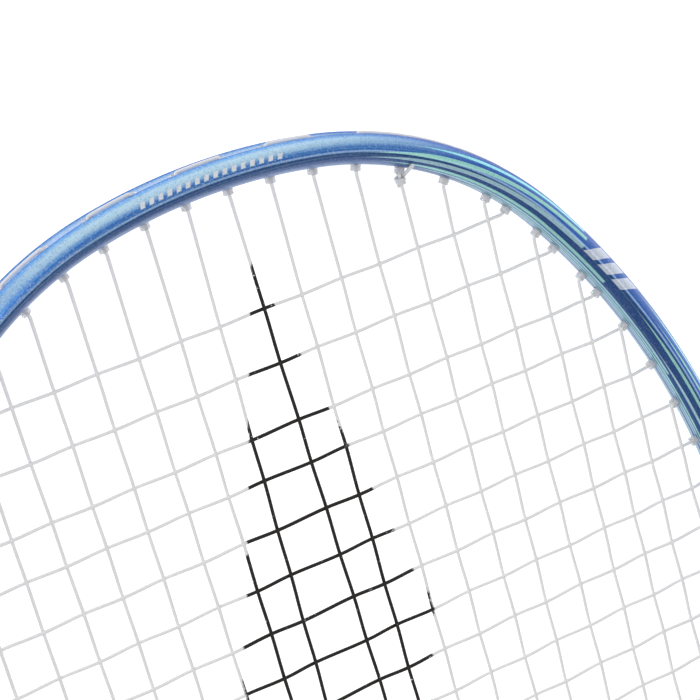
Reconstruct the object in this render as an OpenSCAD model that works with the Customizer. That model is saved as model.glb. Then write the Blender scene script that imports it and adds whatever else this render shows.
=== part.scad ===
// Strung badminton racket lying flat: X across the head, Y from the butt towards the head, Z normal to the string bed.

/* [Overall] */
// Length from the butt's face to the top of the head
overall_length = 675; // [665:1:680]

/* [Head outline] */
// Radius of the hoop's centre line across the top
top_radius = 119.8; // [118:0.2:122]
// Radius of the hoop's centre line at the upper corners
corner_radius = 72.2; // [71:0.2:74]
// Radius of the hoop's centre line down the sides
side_radius = 172; // [168:1:176]
// Radius of the hoop's centre line where the sides turn in
lower_radius = 125; // [122:1:128]
// Angle above the cross line at which the top arc becomes the corner arc
top_arc_end = 78.6; // [78:0.1:79.5]
// Angle above the cross line at which the corner arc becomes the side arc
corner_arc_end = 34.9; // [34.5:0.1:35.5]
// Angle below the cross line at which the side arc becomes the lower arc
side_arc_end = 5; // [4:1:6]
// Angle below the cross line at which the lower arc becomes the throat arc
lower_arc_end = 58; // [57:0.5:59]

/* [Frame section] */
// Width of the hoop's tube in the plane of the strings
rim_width = 6.6; // [6.4:0.1:7]
// Height of the hoop's tube, across the plane of the strings
rim_height = 10.6; // [10:0.2:11.2]
// How full the tube's section is: 2 is an ellipse, less is nearer a diamond
rim_fullness = 1.85; // [1.7:0.05:2.2]
// Thickness of the tube's wall
rim_wall = 0.8; // [0.7:0.05:0.9]
// Width of the string groove around the outside, from lip to lip
groove_width = 4.2; // [4:0.1:4.6]
// Depth of the string groove
groove_depth = 1; // [0.9:0.05:1.1]

/* [Strings] */
// Diameter of the string
string_d = 0.7; // [0.66:0.01:0.7]
// Distance between main strings at the middle
main_pitch = 8.8; // [8.6:0.05:8.9]
// How much closer the outer mains stand
main_taper = 0.0002; // [0:0.0001:0.0004]
// Distance from the hoop's centre line at the top to the first cross string
first_cross = 27.7; // [26:0.1:29]
// Distance between cross strings at the middle
cross_pitch = 9.85; // [9.6:0.05:10]
// Extra distance between cross strings at the two ends
cross_spread = 2.14; // [1.8:0.02:2.4]

/* [Grommets] */
// Outside diameter of a grommet's tube
grommet_d = 2.1; // [2:0.05:2.2]
// Bore of a grommet's tube
grommet_bore = 1.5; // [1.46:0.02:1.6]
// How far a grommet stands out of the hoop's inner side
grommet_reach = 1.3; // [1.2:0.1:1.5]

/* [Shaft and throat] */
// Diameter of the shaft
shaft_d = 7; // [6.8:0.1:7.4]
// Bore of the shaft
shaft_bore = 5; // [4.8:0.1:5.2]
// Length of the throat fairing along the shaft
throat_length = 30; // [24:1:36]
// Width of the throat fairing where it meets the hoop
throat_width = 26; // [20:1:30]

/* [Handle] */
// Length of the handle's core
core_length = 170; // [160:1:176]
// Width of the core between the flats that face the sides
core_width = 23; // [22:0.5:24]
// Height of the core between the flats that face up and down
core_height = 20; // [19:0.5:21]
// Extra half-width of the flared butt
butt_flare = 2.2; // [1.5:0.1:2.6]
// Length over which the butt flares
flare_length = 34; // [28:1:40]
// Depth of the shaft's socket in the core
socket_depth = 72; // [60:1:80]
// Length of the cone cap between core and shaft
cone_length = 35; // [30:1:40]
// Thickness of the cushion layer under the grip
underlay = 0.5; // [0.4:0.05:0.6]
// Thickness of the grip
grip = 1.8; // [1.6:0.1:2]

/* [Hidden] */
$fn = 48;

gap = 0.05;               // clearance between fitted pieces
mains = 11;               // main strings on each side of the axis
crosses = 20;             // cross strings
half_w = rim_width / 2;
half_h = rim_height / 2;
string_r = string_d / 2;
layer = string_r + 0.02;  // height of each string layer above or below the middle plane

// The hoop's centre line: five tangent arcs from the top to the throat, mirrored
top_y = overall_length - half_w;
ends = [90, top_arc_end, corner_arc_end, -side_arc_end, -lower_arc_end, -90];
function dir(a) = [cos(a), sin(a)];
c0 = [0, top_y - top_radius];
c1 = c0 + (top_radius - corner_radius) * dir(ends[1]);
c2 = c1 + (corner_radius - side_radius) * dir(ends[2]);
c3 = c2 + (side_radius - lower_radius) * dir(ends[3]);
throat_radius = lower_radius + c3.x / cos(ends[4]);
c4 = [0, c3.y + (lower_radius - throat_radius) * sin(ends[4])];
centres = [c0, c1, c2, c3, c4];
radii = [top_radius, corner_radius, side_radius, lower_radius, throat_radius];
function arc_length(i) = radii[i] * (ends[i] - ends[i + 1]) * PI / 180;
function start_of(i) = i == 0 ? 0 : start_of(i - 1) + arc_length(i - 1);
starts = [for (i = [0:5]) start_of(i)];
bottom_y = c4.y - throat_radius;

// Places on the hoop, as lengths along its centre line from the top
function arc_at(s) = max([for (i = [0:4]) if (i == 0 || s >= starts[i]) i]);
function angle_at(s) = let (i = arc_at(s)) ends[i] - (s - starts[i]) / radii[i] * 180 / PI;
function place(s, r, side) = let (i = arc_at(s), p = centres[i] + (radii[i] + r) * dir(angle_at(s))) [side * p.x, p.y];
function s_from(i, a) = starts[i] + (ends[i] - a) * radii[i] * PI / 180;
function within(i, a) = a <= ends[i] && a >= ends[i + 1];
function s_at_x(x, r, sign) = [for (i = [0:4]) let (c = (x - centres[i].x) / (radii[i] + r), a = abs(c) <= 1 ? sign * acos(c) : 999)
    if (within(i, a)) s_from(i, a)][0];
function s_at_y(y, r) = [for (i = [0:4]) let (c = (y - centres[i].y) / (radii[i] + r), a = abs(c) <= 1 ? asin(c) : 999)
    if (within(i, a)) s_from(i, a)][0];

// Depths across the tube, from its centre line outwards
groove_floor = half_w - groove_depth;
flange = 0.3;                                       // thickness of a grommet's flange
flange_r = 1.3;                                     // radius of a grommet's flange
run_r = groove_floor + flange + string_r + 0.02;    // strings that lie in the groove
tie_r = run_r + string_d + 0.03;                    // string that lies over them
turn_r = -(half_w + grommet_reach + string_r + 0.1); // where a string turns into its grommet

// Where each string meets the hoop. The paired mains and crosses share a grommet, and others are spread apart
top_pairs = [[10, 4], [11, 6]];
bottom_pairs = [[11, 14], [6, 20]];
spread = 5.6;             // least distance between a main's grommet and a cross's
first_throat_x = 8.4;     // the middle mains splay beside the shaft
function main_x(i) = let (k = i - 0.5) main_pitch * (k - main_taper * pow(k, 3));
function cross_gap(j) = cross_pitch + cross_spread * pow((j - (crosses - 2) / 2) / ((crosses - 2) / 2), 2);
function cross_y(j) = j == 1 ? top_y - first_cross : cross_y(j - 1) - cross_gap(j - 1.5);
cross_raw = [for (j = [1:crosses]) s_at_y(cross_y(j), turn_r)];
function mate(i, pairs) = [for (p = pairs) if (p[0] == i) cross_raw[p[1] - 1]];
function aimed(pairs, sign) = [for (i = [1:mains]) let (m = mate(i, pairs))
    len(m) > 0 ? m[0] : s_at_x(max(main_x(i), sign < 0 ? first_throat_x : 0), turn_r, sign)];
function pushed(s, others) = let (near = [for (o = others) if (abs(o - s) < spread) o])
    len(near) == 0 || near[0] == s ? s : s + sign(s - near[0]) * (spread - abs(s - near[0])) / 2;
top_aim = aimed(top_pairs, 1);
bottom_aim = aimed(bottom_pairs, -1);
main_top = [for (s = top_aim) pushed(s, cross_raw)];
main_bottom = [for (s = bottom_aim) pushed(s, cross_raw)];
cross_end = [for (s = cross_raw) pushed(s, concat(top_aim, bottom_aim))];
function without(list, others) = [for (s = list) if (len([for (o = others) if (o == s) o]) == 0) s];
shared = [for (p = concat(top_pairs, bottom_pairs)) cross_raw[p[1] - 1]];
top_alone = without(main_top, shared);
bottom_alone = without(main_bottom, shared);
cross_alone = without(cross_end, shared);
every_hole = concat(top_alone, bottom_alone, cross_alone, shared);

tie_main = 9;             // main whose lower grommet also holds the main string's end
start_main = 5;           // main whose upper grommet also holds the cross string's start
finish_main = 4;          // main whose lower grommet also holds the cross string's end

// Sweeps its child, drawn at $arc_r, along the throat arc, as far as a length to each side of the middle
module throat_arc(reach) {
    half = reach / throat_radius * 180 / PI;
    $arc_r = throat_radius;
    translate([0, c4.y, 0]) rotate(-90 - half) rotate_extrude(angle = 2 * half) children();
}

// Points of the tube's rounded section, with its outer side cut at one depth
function lobe(t, w, h) = [w * sign(cos(t)) * pow(abs(cos(t)), 2 / rim_fullness), h * sign(sin(t)) * pow(abs(sin(t)), 2 / rim_fullness)];
function lobe_angle(r, w) = acos(pow(r / w, rim_fullness / 2));
function cut_lobe(cut, w, h, n) = let (t = lobe_angle(cut, w)) [for (k = [0:n]) lobe(t + (360 - 2 * t) * k / n, w, h)];
lip_r = half_w * pow(1 - pow(groove_width / 2 / half_h, rim_fullness), 1 / rim_fullness);
channel_cut = groove_floor - rim_wall;

floor_half = 1.35;        // half-width of the groove's flat floor, between its sloping sides
rim_points = concat(cut_lobe(lip_r, half_w, half_h, 14), [[groove_floor, -floor_half], [groove_floor, floor_half]]);
channel_points = cut_lobe(channel_cut, half_w - rim_wall, half_h - rim_wall * 1.4, 8);

// A closed loop of one section all the way round the hoop, in short straight steps
module round_hoop(section) {
    steps = 76;
    m = len(section);
    total = 2 * starts[5];
    polyhedron(
        points = [for (k = [0:steps - 1], q = section) let (s = total * (k + 0.5) / steps, side = s < starts[5] ? 1 : -1,
            p = place(side > 0 ? s : total - s, q[0], side)) [p.x, p.y, q[1]]],
        faces = [for (k = [0:steps - 1], j = [0:m - 1], half = [0, 1]) let (k2 = (k + 1) % steps, j2 = (j + 1) % m)
            half == 0 ? [k * m + j, k2 * m + j, k2 * m + j2] : [k * m + j, k2 * m + j2, k * m + j2]]);
}
module channel_section(shrink) {
    translate([$arc_r, 0]) polygon(cut_lobe(channel_cut - shrink, half_w - rim_wall - shrink, half_h - rim_wall * 1.4 - shrink, 12));
}
module full_section(grow) {
    translate([$arc_r, 0]) polygon([for (k = [0:19]) lobe(k * 18, half_w + grow, half_h + grow)]);
}

// Stands its child, drawn along +Z, at a place on the hoop with +Z pointing outwards from one depth
module radially(s, r, side, z = 0) {
    p = place(s, r, side);
    a = angle_at(s);
    translate([p.x, p.y, z]) rotate(side > 0 ? a : 180 - a) rotate([0, 90, 0]) children();
}

// A string's way, as points: its turn inside the head, and its run along the groove from one grommet to another
function at_turn(s, side, z) = let (p = place(s, turn_r, side)) [p.x, p.y, z];
function groove_way(from, to, side, z0, z1, r = run_r) =
    [for (k = [0:4]) let (p = place(from + (to - from) * k / 4, r, side)) [p.x, p.y, z0 + (z1 - z0) * k / 4]];

// One tube of eight sides along a list of points that lie nearly level
function heading(path, k) = let (d = path[k + 1] - path[k], flat = [d.x, d.y]) flat / norm(flat);
module string_along(path) {
    sides = 8;
    r = string_r * 1.05;      // gives the eight-sided tube the area of a round one
    last = len(path) - 1;
    polyhedron(
        points = [for (k = [0:last]) let (before = heading(path, max(k - 1, 0)), after = heading(path, min(k, last - 1)),
            middle = (before + after) / norm(before + after), mitre = 1 / (middle * after))
            for (j = [0:sides - 1]) let (a = 360 * (j + 0.5) / sides)
                path[k] + r * [-middle.y * cos(a) * mitre, middle.x * cos(a) * mitre, sin(a)]],
        faces = concat([[for (j = [0:sides - 1]) j]], [[for (j = [sides - 1:-1:0]) last * sides + j]],
            [for (k = [0:last - 1], j = [0:sides - 1], half = [0, 1]) let (j2 = (j + 1) % sides, low = k * sides, high = low + sides)
                half == 0 ? [low + j, high + j2, low + j2] : [low + j, high + j, high + j2]]));
}

module head_frame() {
    hole_r = (grommet_d / 2 + gap) / cos(30);
    color("RoyalBlue") difference() {
        round_hoop(rim_points);
        round_hoop(channel_points);
        for (side = [-1, 1], s = every_hole)
            radially(s, -half_w - 1, side) hull() cylinder(h = half_w + 1 + groove_floor + 0.2, r = hole_r, $fn = 6);
        along_y(bottom_y - half_w - 1) cylinder(h = half_w, r = shaft_bore / 2, $fn = 16);
    }
}

module along_y(y) translate([0, y, 0]) rotate([-90, 0, 0]) children();

// T-shaped joint: its stem fills the end of the shaft and its arms lie inside the hoop
arm_length = 6;
stem_depth = 16;          // how far the stem reaches into the shaft
shaft_top = bottom_y - half_w - gap;
module t_joint() {
    color("Silver") union() {
        along_y(shaft_top - stem_depth) cylinder(h = stem_depth + gap + half_w - channel_cut + 1, r = shaft_bore / 2 - gap);
        throat_arc(arm_length) channel_section(0.1);
    }
}

base_r = shaft_d / 2 + 1;                       // radius of the fairing's foot round the shaft
base_growth = 0.9;                              // how much that radius grows up to the hoop
wing_height = 1.3 * base_r;                     // thickness of the flat wings beside it
wing_start = shaft_top - 0.7 * throat_length;   // where the wings begin
wing_end = shaft_top + 1.8;                     // where they run into the hoop
module throat_fairing() {
    color("RoyalBlue") difference() {
        union() {
            along_y(shaft_top - throat_length) cylinder(h = throat_length, r1 = base_r, r2 = base_r + base_growth);
            linear_extrude(height = wing_height, center = true) polygon([[-base_r, wing_start], [base_r, wing_start],
                [throat_width / 2, wing_end], [-throat_width / 2, wing_end]]);
        }
        throat_arc(throat_width) full_section(gap);
        along_y(shaft_top - throat_length - 1) cylinder(h = throat_length + 2, r = shaft_d / 2 + gap);
    }
}

shaft_bottom = core_length - socket_depth;
module shaft() {
    color("MidnightBlue") along_y(shaft_bottom) difference() {
        cylinder(h = shaft_top - shaft_bottom, r = shaft_d / 2);
        translate([0, 0, -1]) cylinder(h = shaft_top - shaft_bottom + 2, r = shaft_bore / 2);
    }
}

module shaft_end_plug() {
    plug_length = 12;
    color("DimGray") along_y(shaft_bottom) cylinder(h = plug_length, r = shaft_bore / 2 - gap);
}

// Corners of the handle's eight-sided section, grown evenly by one amount
function octagon(grow) = let (a = core_width / 2 + grow, b = core_height / 2 + grow,
    reach = sqrt(2) * ((core_width + core_height) / 4 * bevel + grow))
    [[a, reach - a], [reach - b, b], [b - reach, b], [-a, reach - a], [-a, a - reach], [b - reach, -b], [reach - b, -b], [a, a - reach]];
bevel = 1.06;             // distance across the bevelled sides, as a share of the mean of width and height

// An octagonal bar along Y that flares towards the butt
flare_steps = 6;
function flare_at(y) = y < flare_length ? butt_flare * pow(1 - y / flare_length, 2) : 0;
function rows(y0, y1) = y0 >= flare_length ? [y0, y1] : let (y2 = min(y1, flare_length))
    concat([for (k = [0:flare_steps]) y0 + (y2 - y0) * k / flare_steps], y1 > y2 ? [y1] : []);
module octagon_bar(grow, y0, y1) {
    ys = rows(y0, y1);
    last = len(ys) - 1;
    polyhedron(
        points = [for (y = ys, q = octagon(grow + flare_at(y))) [q.x, y, q.y]],
        faces = concat([[for (j = [7:-1:0]) j]], [[for (j = [0:7]) last * 8 + j]],
            [for (k = [0:last - 1], j = [0:7]) let (j2 = (j + 1) % 8) [k * 8 + j, k * 8 + j2, k * 8 + 8 + j2, k * 8 + 8 + j]]));
}

plate = 1;                // thickness of the butt plate
module handle_core() {
    chamber_r = 5.5;
    color("BurlyWood") difference() {
        octagon_bar(0, plate, core_length);
        along_y(shaft_bottom) cylinder(h = socket_depth + 1, r = shaft_d / 2 + gap);
        along_y(0) cylinder(h = shaft_bottom - 10, r = chamber_r);
    }
}

plate_inset = 0.8;         // how far the butt plate's edge stands inside the flare
module butt_plate() color("DarkSlateGray") along_y(0) linear_extrude(height = plate) polygon(octagon(butt_flare - plate_inset));

grip_end = core_length - 2;
module sleeve(inside, thick, y0, y1) difference() {
    octagon_bar(inside + thick, y0, y1);
    octagon_bar(inside, y0 - 1, y1 + 1);
}
module grip_underlay() color("LightGray") sleeve(gap, underlay, plate + 1, grip_end);
module grip_tape() color("White") sleeve(underlay + 2 * gap, grip, plate, grip_end);
module finishing_tape() {
    band = 12;             // its width
    film = 0.3;            // its thickness
    color("Navy") sleeve(underlay + grip + 3 * gap, film, grip_end - band, grip_end);
}

module cone_cap() {
    steps = 8;
    bottom_r = core_height / 2 - 0.2;
    top_r = shaft_d / 2 + 1;
    bore_r = shaft_d / 2 + gap;
    color("MidnightBlue") along_y(core_length + gap) rotate_extrude() polygon(concat(
        [[bore_r, 0]], [for (k = [0:steps]) [top_r + (bottom_r - top_r) * pow(1 - k / steps, 1.5), cone_length * k / steps]],
        [[bore_r, cone_length]]));
}

// The mains: one string from the top's middle out to both sides, up and down, and back over itself to a knot on each side
function mains_of(side) = [for (i = [1:mains]) let (down = i % 2 == 1, first = down ? main_top : main_bottom, last = down ? main_bottom : main_top)
    each concat([at_turn(first[i - 1], side, layer), at_turn(last[i - 1], side, layer)],
        i < mains ? groove_way(last[i - 1], last[i], side, layer, layer) : groove_way(last[i - 1], last[tie_main - 1], side, layer, -layer, tie_r))];
function half_of_mains(side) = concat(mains_of(side), [at_turn(main_bottom[tie_main - 1], side, -layer)]);
function reversed(list) = [for (k = [len(list) - 1:-1:0]) list[k]];
module main_string() {
    middle = [for (k = [-2:2]) let (p = place(main_top[0] * abs(k) / 2, run_r, k < 0 ? -1 : 1)) [p.x, p.y, layer]];
    color("WhiteSmoke") string_along(concat(reversed(half_of_mains(-1)), middle, half_of_mains(1)));
}

// The crosses: one string from a knot at the top, from side to side down the head, to a knot at the throat
function cross_way(j) = let (side = j % 2 == 1 ? 1 : -1, next = j < crosses ? cross_end[j] : main_bottom[finish_main - 1])
    concat([for (to = [side, -side]) at_turn(cross_end[j - 1], to, -layer)], groove_way(cross_end[j - 1], next, -side, -layer, -layer));
module cross_string() {
    color("WhiteSmoke") string_along(concat([at_turn(main_top[start_main - 1], 1, -layer)],
        groove_way(main_top[start_main - 1], cross_end[0], 1, -layer, -layer),
        [for (j = [1:crosses]) each cross_way(j)],
        [at_turn(main_bottom[finish_main - 1], 1, -layer)]));
}

// A knot: a bead round a main just inside its grommet, and the cut tail
bead_r = 1.05;
module knot(s, other, side) {
    from = at_turn(s, side, layer);
    to = at_turn(other, side, layer);
    d = (to - from) / norm(to - from);
    centre = from + d * (bead_r + string_r + 0.1);
    tail = 6;                 // length of the cut tail
    lean = 38;                // how far the tail leans from upright, towards the hoop
    splay = 12;               // how far it leans to the side
    rise = 1.5 * string_r;    // where the tail starts, above and beside the bead's centre
    slack = 0.07;             // room round the main that passes through
    difference() {
        union() {
            translate(centre) sphere(r = bead_r, $fn = 12);
            translate(centre + rise * [side, 0, 1]) rotate([sign(d.y) * lean, 0, -side * splay])
                cylinder(h = tail, r = string_r, $fn = 8);
        }
        translate(centre - d * bead_r * 2) rotate([0, 90, atan2(d.y, d.x)]) cylinder(h = bead_r * 4, r = string_r + slack, $fn = 8);
    }
}
module main_string_knots() {
    color("WhiteSmoke") for (side = [-1, 1]) knot(main_bottom[tie_main - 1], main_top[tie_main - 1], side);
}
module cross_string_knots() {
    color("WhiteSmoke") {
        knot(main_top[start_main - 1], main_bottom[start_main - 1], 1);
        knot(main_bottom[finish_main - 1], main_top[finish_main - 1], 1);
    }
}

module grommet(s, side) {
    reach = half_w + grommet_reach;
    radially(s, -reach, side) rotate_extrude() polygon([
        [grommet_bore / 2, 0], [grommet_d / 2, 0], [grommet_d / 2, reach + groove_floor + 0.02],
        [flange_r, reach + groove_floor + 0.02], [flange_r, reach + groove_floor + flange],
        [grommet_bore / 2, reach + groove_floor + flange]]);
}
module grommets(places, sides) for (side = sides, s = places) grommet(s, side);
module top_grommets() color("Gainsboro") grommets(top_alone, [-1, 1]);
module bottom_grommets() color("Gainsboro") grommets(bottom_alone, [-1, 1]);
module left_grommets() color("Gainsboro") grommets(cross_alone, [-1]);
module right_grommets() color("Gainsboro") grommets(cross_alone, [1]);
module shared_grommets() color("Gainsboro") grommets(shared, [-1, 1]);

head_frame();
t_joint();
throat_fairing();
shaft();
shaft_end_plug();
cone_cap();
handle_core();
butt_plate();
grip_underlay();
grip_tape();
finishing_tape();
main_string();
cross_string();
main_string_knots();
cross_string_knots();
top_grommets();
bottom_grommets();
left_grommets();
right_grommets();
shared_grommets();
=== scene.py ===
"""Looks of a strung badminton racket: painted head, woven strings, shaft and wrapped handle.

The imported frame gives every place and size. The racket lies flat, X across the head, Y from the butt
to the head, Z normal to the string bed. Plans are in millimetres and meshes in metres.
"""

import logging
import math
from dataclasses import dataclass, field
from enum import Enum
from typing import Callable, Optional, Sequence, Union

import bmesh
import bpy
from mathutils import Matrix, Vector

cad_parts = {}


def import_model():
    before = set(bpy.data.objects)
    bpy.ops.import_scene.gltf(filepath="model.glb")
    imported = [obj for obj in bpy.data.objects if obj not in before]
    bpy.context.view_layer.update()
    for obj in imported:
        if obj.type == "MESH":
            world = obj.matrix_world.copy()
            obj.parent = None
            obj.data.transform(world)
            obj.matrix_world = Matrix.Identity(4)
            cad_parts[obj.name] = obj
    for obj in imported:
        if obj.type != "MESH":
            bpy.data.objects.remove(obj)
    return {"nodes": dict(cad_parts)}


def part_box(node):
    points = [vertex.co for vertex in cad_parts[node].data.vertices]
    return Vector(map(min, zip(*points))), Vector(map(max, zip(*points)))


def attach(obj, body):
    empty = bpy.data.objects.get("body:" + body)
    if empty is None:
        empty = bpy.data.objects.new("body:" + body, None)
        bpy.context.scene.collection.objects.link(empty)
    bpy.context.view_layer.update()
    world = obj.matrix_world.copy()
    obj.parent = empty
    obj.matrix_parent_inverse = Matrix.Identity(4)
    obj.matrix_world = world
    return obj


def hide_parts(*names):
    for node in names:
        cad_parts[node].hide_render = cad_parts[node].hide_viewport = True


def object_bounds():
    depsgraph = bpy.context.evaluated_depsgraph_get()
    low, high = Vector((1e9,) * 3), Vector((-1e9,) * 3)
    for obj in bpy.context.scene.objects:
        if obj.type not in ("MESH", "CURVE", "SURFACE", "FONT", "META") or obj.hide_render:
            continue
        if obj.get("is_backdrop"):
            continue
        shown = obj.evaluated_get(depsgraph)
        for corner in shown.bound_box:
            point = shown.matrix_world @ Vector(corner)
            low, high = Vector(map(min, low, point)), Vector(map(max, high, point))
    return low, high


MM = 0.001
BODY = "root"
WRAP = "wrap"
FACING = "facing"
log = logging.getLogger("racket")

Colour = tuple[float, float, float]
Number = Union[int, float]


def srgb(red: int, green: int, blue: int) -> Colour:
    """A colour given as a paint maker's 0-255 values.

    Args:
        red, green, blue: The three values.

    Returns:
        The linear colour that a shader takes.
    """
    return tuple(
        c / 12.92 if c <= 0.04045 else ((c + 0.055) / 1.055) ** 2.4
        for c in (red / 255, green / 255, blue / 255)
    )


# ---------------------------------------------------------------- node trees


class Wire:
    """A node's output, with the operators that sums on values need."""

    def __init__(self, graph: "Graph", socket: bpy.types.NodeSocket) -> None:
        """Keeps the socket and the graph that new Math nodes go into."""
        self.graph = graph
        self.socket = socket

    def _sum(self, operation: str, first: "Value", second: "Value" = None) -> "Wire":
        """Adds one Math node and returns its value."""
        inputs = {0: first} if second is None else {0: first, 1: second}
        return self.graph.out("ShaderNodeMath", {"operation": operation}, inputs)

    def __add__(self, other: "Value") -> "Wire":
        """Sum."""
        return self._sum("ADD", self, other)

    __radd__ = __add__

    def __sub__(self, other: "Value") -> "Wire":
        """Difference."""
        return self._sum("SUBTRACT", self, other)

    def __rsub__(self, other: "Value") -> "Wire":
        """Difference, reflected."""
        return self._sum("SUBTRACT", other, self)

    def __mul__(self, other: "Value") -> "Wire":
        """Product."""
        return self._sum("MULTIPLY", self, other)

    __rmul__ = __mul__

    def __truediv__(self, other: "Value") -> "Wire":
        """Quotient."""
        return self._sum("DIVIDE", self, other)

    def __and__(self, other: "Value") -> "Wire":
        """The lesser of two masks."""
        return self._sum("MINIMUM", self, other)

    def __or__(self, other: "Value") -> "Wire":
        """The greater of two masks."""
        return self._sum("MAXIMUM", self, other)

    def __abs__(self) -> "Wire":
        """Size without sign."""
        return self._sum("ABSOLUTE", self)

    def fraction(self) -> "Wire":
        """The part after the point."""
        return self._sum("FRACT", self)

    def ramp(self, low: float, high: float) -> "Wire":
        """A soft step: 0 below low, 1 above high, or the other way if low is the greater.

        Args:
            low: Where the step starts.
            high: Where it ends.

        Returns:
            The step's value, from 0 to 1.
        """
        settings = {"interpolation_type": "SMOOTHSTEP", "clamp": True}
        start, end, ends = (low, high, (0, 1)) if low < high else (high, low, (1, 0))
        limits = {"From Min": start, "From Max": end, "To Min": ends[0], "To Max": ends[1]}
        return self.graph.out("ShaderNodeMapRange", settings, {"Value": self, **limits})


Value = Union[Wire, Number, Sequence[float], None]


class Graph:
    """One node tree, of a material or of Geometry Nodes, and the one way to add nodes to it."""

    def __init__(self, tree: bpy.types.NodeTree) -> None:
        """Keeps the tree."""
        self.tree = tree

    def node(self, kind: str, settings: dict = None, inputs: dict = None) -> bpy.types.Node:
        """Adds a node.

        Args:
            kind: The node's type.
            settings: Properties, set first.
            inputs: Values, links or lists of links by socket name or number.

        Returns:
            The new node.
        """
        node = self.tree.nodes.new(kind)
        for name, value in (settings or {}).items():
            setattr(node, name, value)
        for name, value in (inputs or {}).items():
            for one in value if isinstance(value, list) else [value]:
                socket = self._socket(node, name)
                if isinstance(one, Wire):
                    self.tree.links.new(one.socket, socket)
                elif isinstance(one, tuple) and len(one) == 3 and socket.type == "RGBA":
                    socket.default_value = (*one, 1.0)
                else:
                    socket.default_value = one
        return node

    @staticmethod
    def _socket(node: bpy.types.Node, name: Union[str, int]) -> bpy.types.NodeSocket:
        """The input socket of that name or number; of several with one name, the enabled one.

        Args:
            node: The node.
            name: The socket's name or number.

        Returns:
            The socket.
        """
        if isinstance(name, int):
            return node.inputs[name]
        found = [s for s in node.inputs if s.name == name]
        return next((s for s in found if s.enabled), found[0])

    def out(
        self,
        kind: str,
        settings: dict = None,
        inputs: dict = None,
        output: Union[str, int] = 0,
    ) -> Wire:
        """Adds a node and returns one of its outputs.

        Args:
            kind: The node's type.
            settings: The node's properties.
            inputs: Values or wires by socket name or number.
            output: Name or number of the output.

        Returns:
            The output.
        """
        node = self.node(kind, settings, inputs)
        if isinstance(output, str):
            return Wire(self, next(s for s in node.outputs if s.name == output and s.enabled))
        return Wire(self, [s for s in node.outputs if s.enabled][output])

    def mix(self, share: Value, under: Value, over: Value) -> Wire:
        """A colour between two: under where share is 0 and over where it is 1."""
        settings = {"data_type": "RGBA", "clamp_factor": True}
        return self.out("ShaderNodeMix", settings, {"Factor": share, "A": under, "B": over}, "Result")

    def object_place(self) -> tuple[Wire, Wire, Wire]:
        """Object coordinates as three values, in millimetres."""
        place = self.out("ShaderNodeTexCoord", output="Object")
        return self._split(place, 1 / MM)

    def wrap_place(self) -> tuple[Wire, Wire]:
        """The piece's own coordinates along and around it, in millimetres."""
        along, around, _ = self._split(self.out("ShaderNodeUVMap", {"uv_map": WRAP}), 1)
        return along, around

    def _split(self, vector: Wire, scale: float) -> tuple[Wire, Wire, Wire]:
        """The three parts of a vector, times a number.

        Args:
            vector: The vector.
            scale: The number.

        Returns:
            Its X, Y and Z.
        """
        scaled = self.out("ShaderNodeVectorMath", {"operation": "SCALE"}, {0: vector, "Scale": scale})
        parts = self.node("ShaderNodeSeparateXYZ", inputs={0: scaled})
        return tuple(Wire(self, s) for s in parts.outputs)

    def joined(self, x: Value, y: Value, z: Value = 0.0) -> Wire:
        """A vector of three values."""
        return self.out("ShaderNodeCombineXYZ", inputs={0: x, 1: y, 2: z})

    def noise(self, scale: float, detail: float = 3, roughness: float = 0.5, at: Wire = None) -> Wire:
        """Cloudy noise from 0 to 1.

        Args:
            scale: Clouds per metre, or per millimetre if at is in millimetres.
            detail: Finer layers.
            roughness: How strong those are.
            at: Where it is read; Object coordinates if left out.

        Returns:
            The noise.
        """
        place = at or self.out("ShaderNodeTexCoord", output="Object")
        inputs = {"Vector": place, "Scale": scale, "Detail": detail, "Roughness": roughness}
        return self.out("ShaderNodeTexNoise", inputs=inputs)

    def flakes(self, scale: float) -> Wire:
        """A value that differs from one small cell to the next, as paint flakes do.

        Args:
            scale: Cells per metre.

        Returns:
            The value, from 0 to 1.
        """
        place = self.out("ShaderNodeTexCoord", output="Object")
        cells = self.out("ShaderNodeTexVoronoi", inputs={"Vector": place, "Scale": scale}, output="Color")
        return Wire(self, self.node("ShaderNodeSeparateXYZ", inputs={0: cells}).outputs[0])

    def bump(self, height: Wire, depth: float) -> Wire:
        """A normal tilted by a height from 0 to 1 that stands for that many millimetres."""
        inputs = {"Strength": 1.0, "Distance": depth * MM, "Height": height}
        return self.out("ShaderNodeBump", inputs=inputs)


# ------------------------------------------------------------------ finishes


@dataclass(frozen=True)
class Gloss:
    """What a finish's surface does everywhere alike, set on the shader's own sockets.

    Attributes:
        roughness, metallic, specular, ior: The surface itself.
        coat, coat_roughness: The clear lacquer over it.
        sheen: The soft glow of foam or tacky tape.
        clear: Share of light that goes through.
        cover: How much it hides what is behind it.
    """

    roughness: float = 0.4
    metallic: float = 0.0
    coat: float = 0.0
    coat_roughness: float = 0.05
    specular: float = 0.5
    sheen: float = 0.0
    clear: float = 0.0
    ior: float = 1.5
    cover: float = 1.0

    def sockets(self) -> dict[str, float]:
        """The shader's sockets and their values.

        Returns:
            Values by socket name.
        """
        return {
            "Roughness": self.roughness,
            "Metallic": self.metallic,
            "Coat Weight": self.coat,
            "Coat Roughness": self.coat_roughness,
            "Specular IOR Level": self.specular,
            "Sheen Weight": self.sheen,
            "Transmission Weight": self.clear,
            "IOR": self.ior,
            "Alpha": self.cover,
        }


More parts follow.
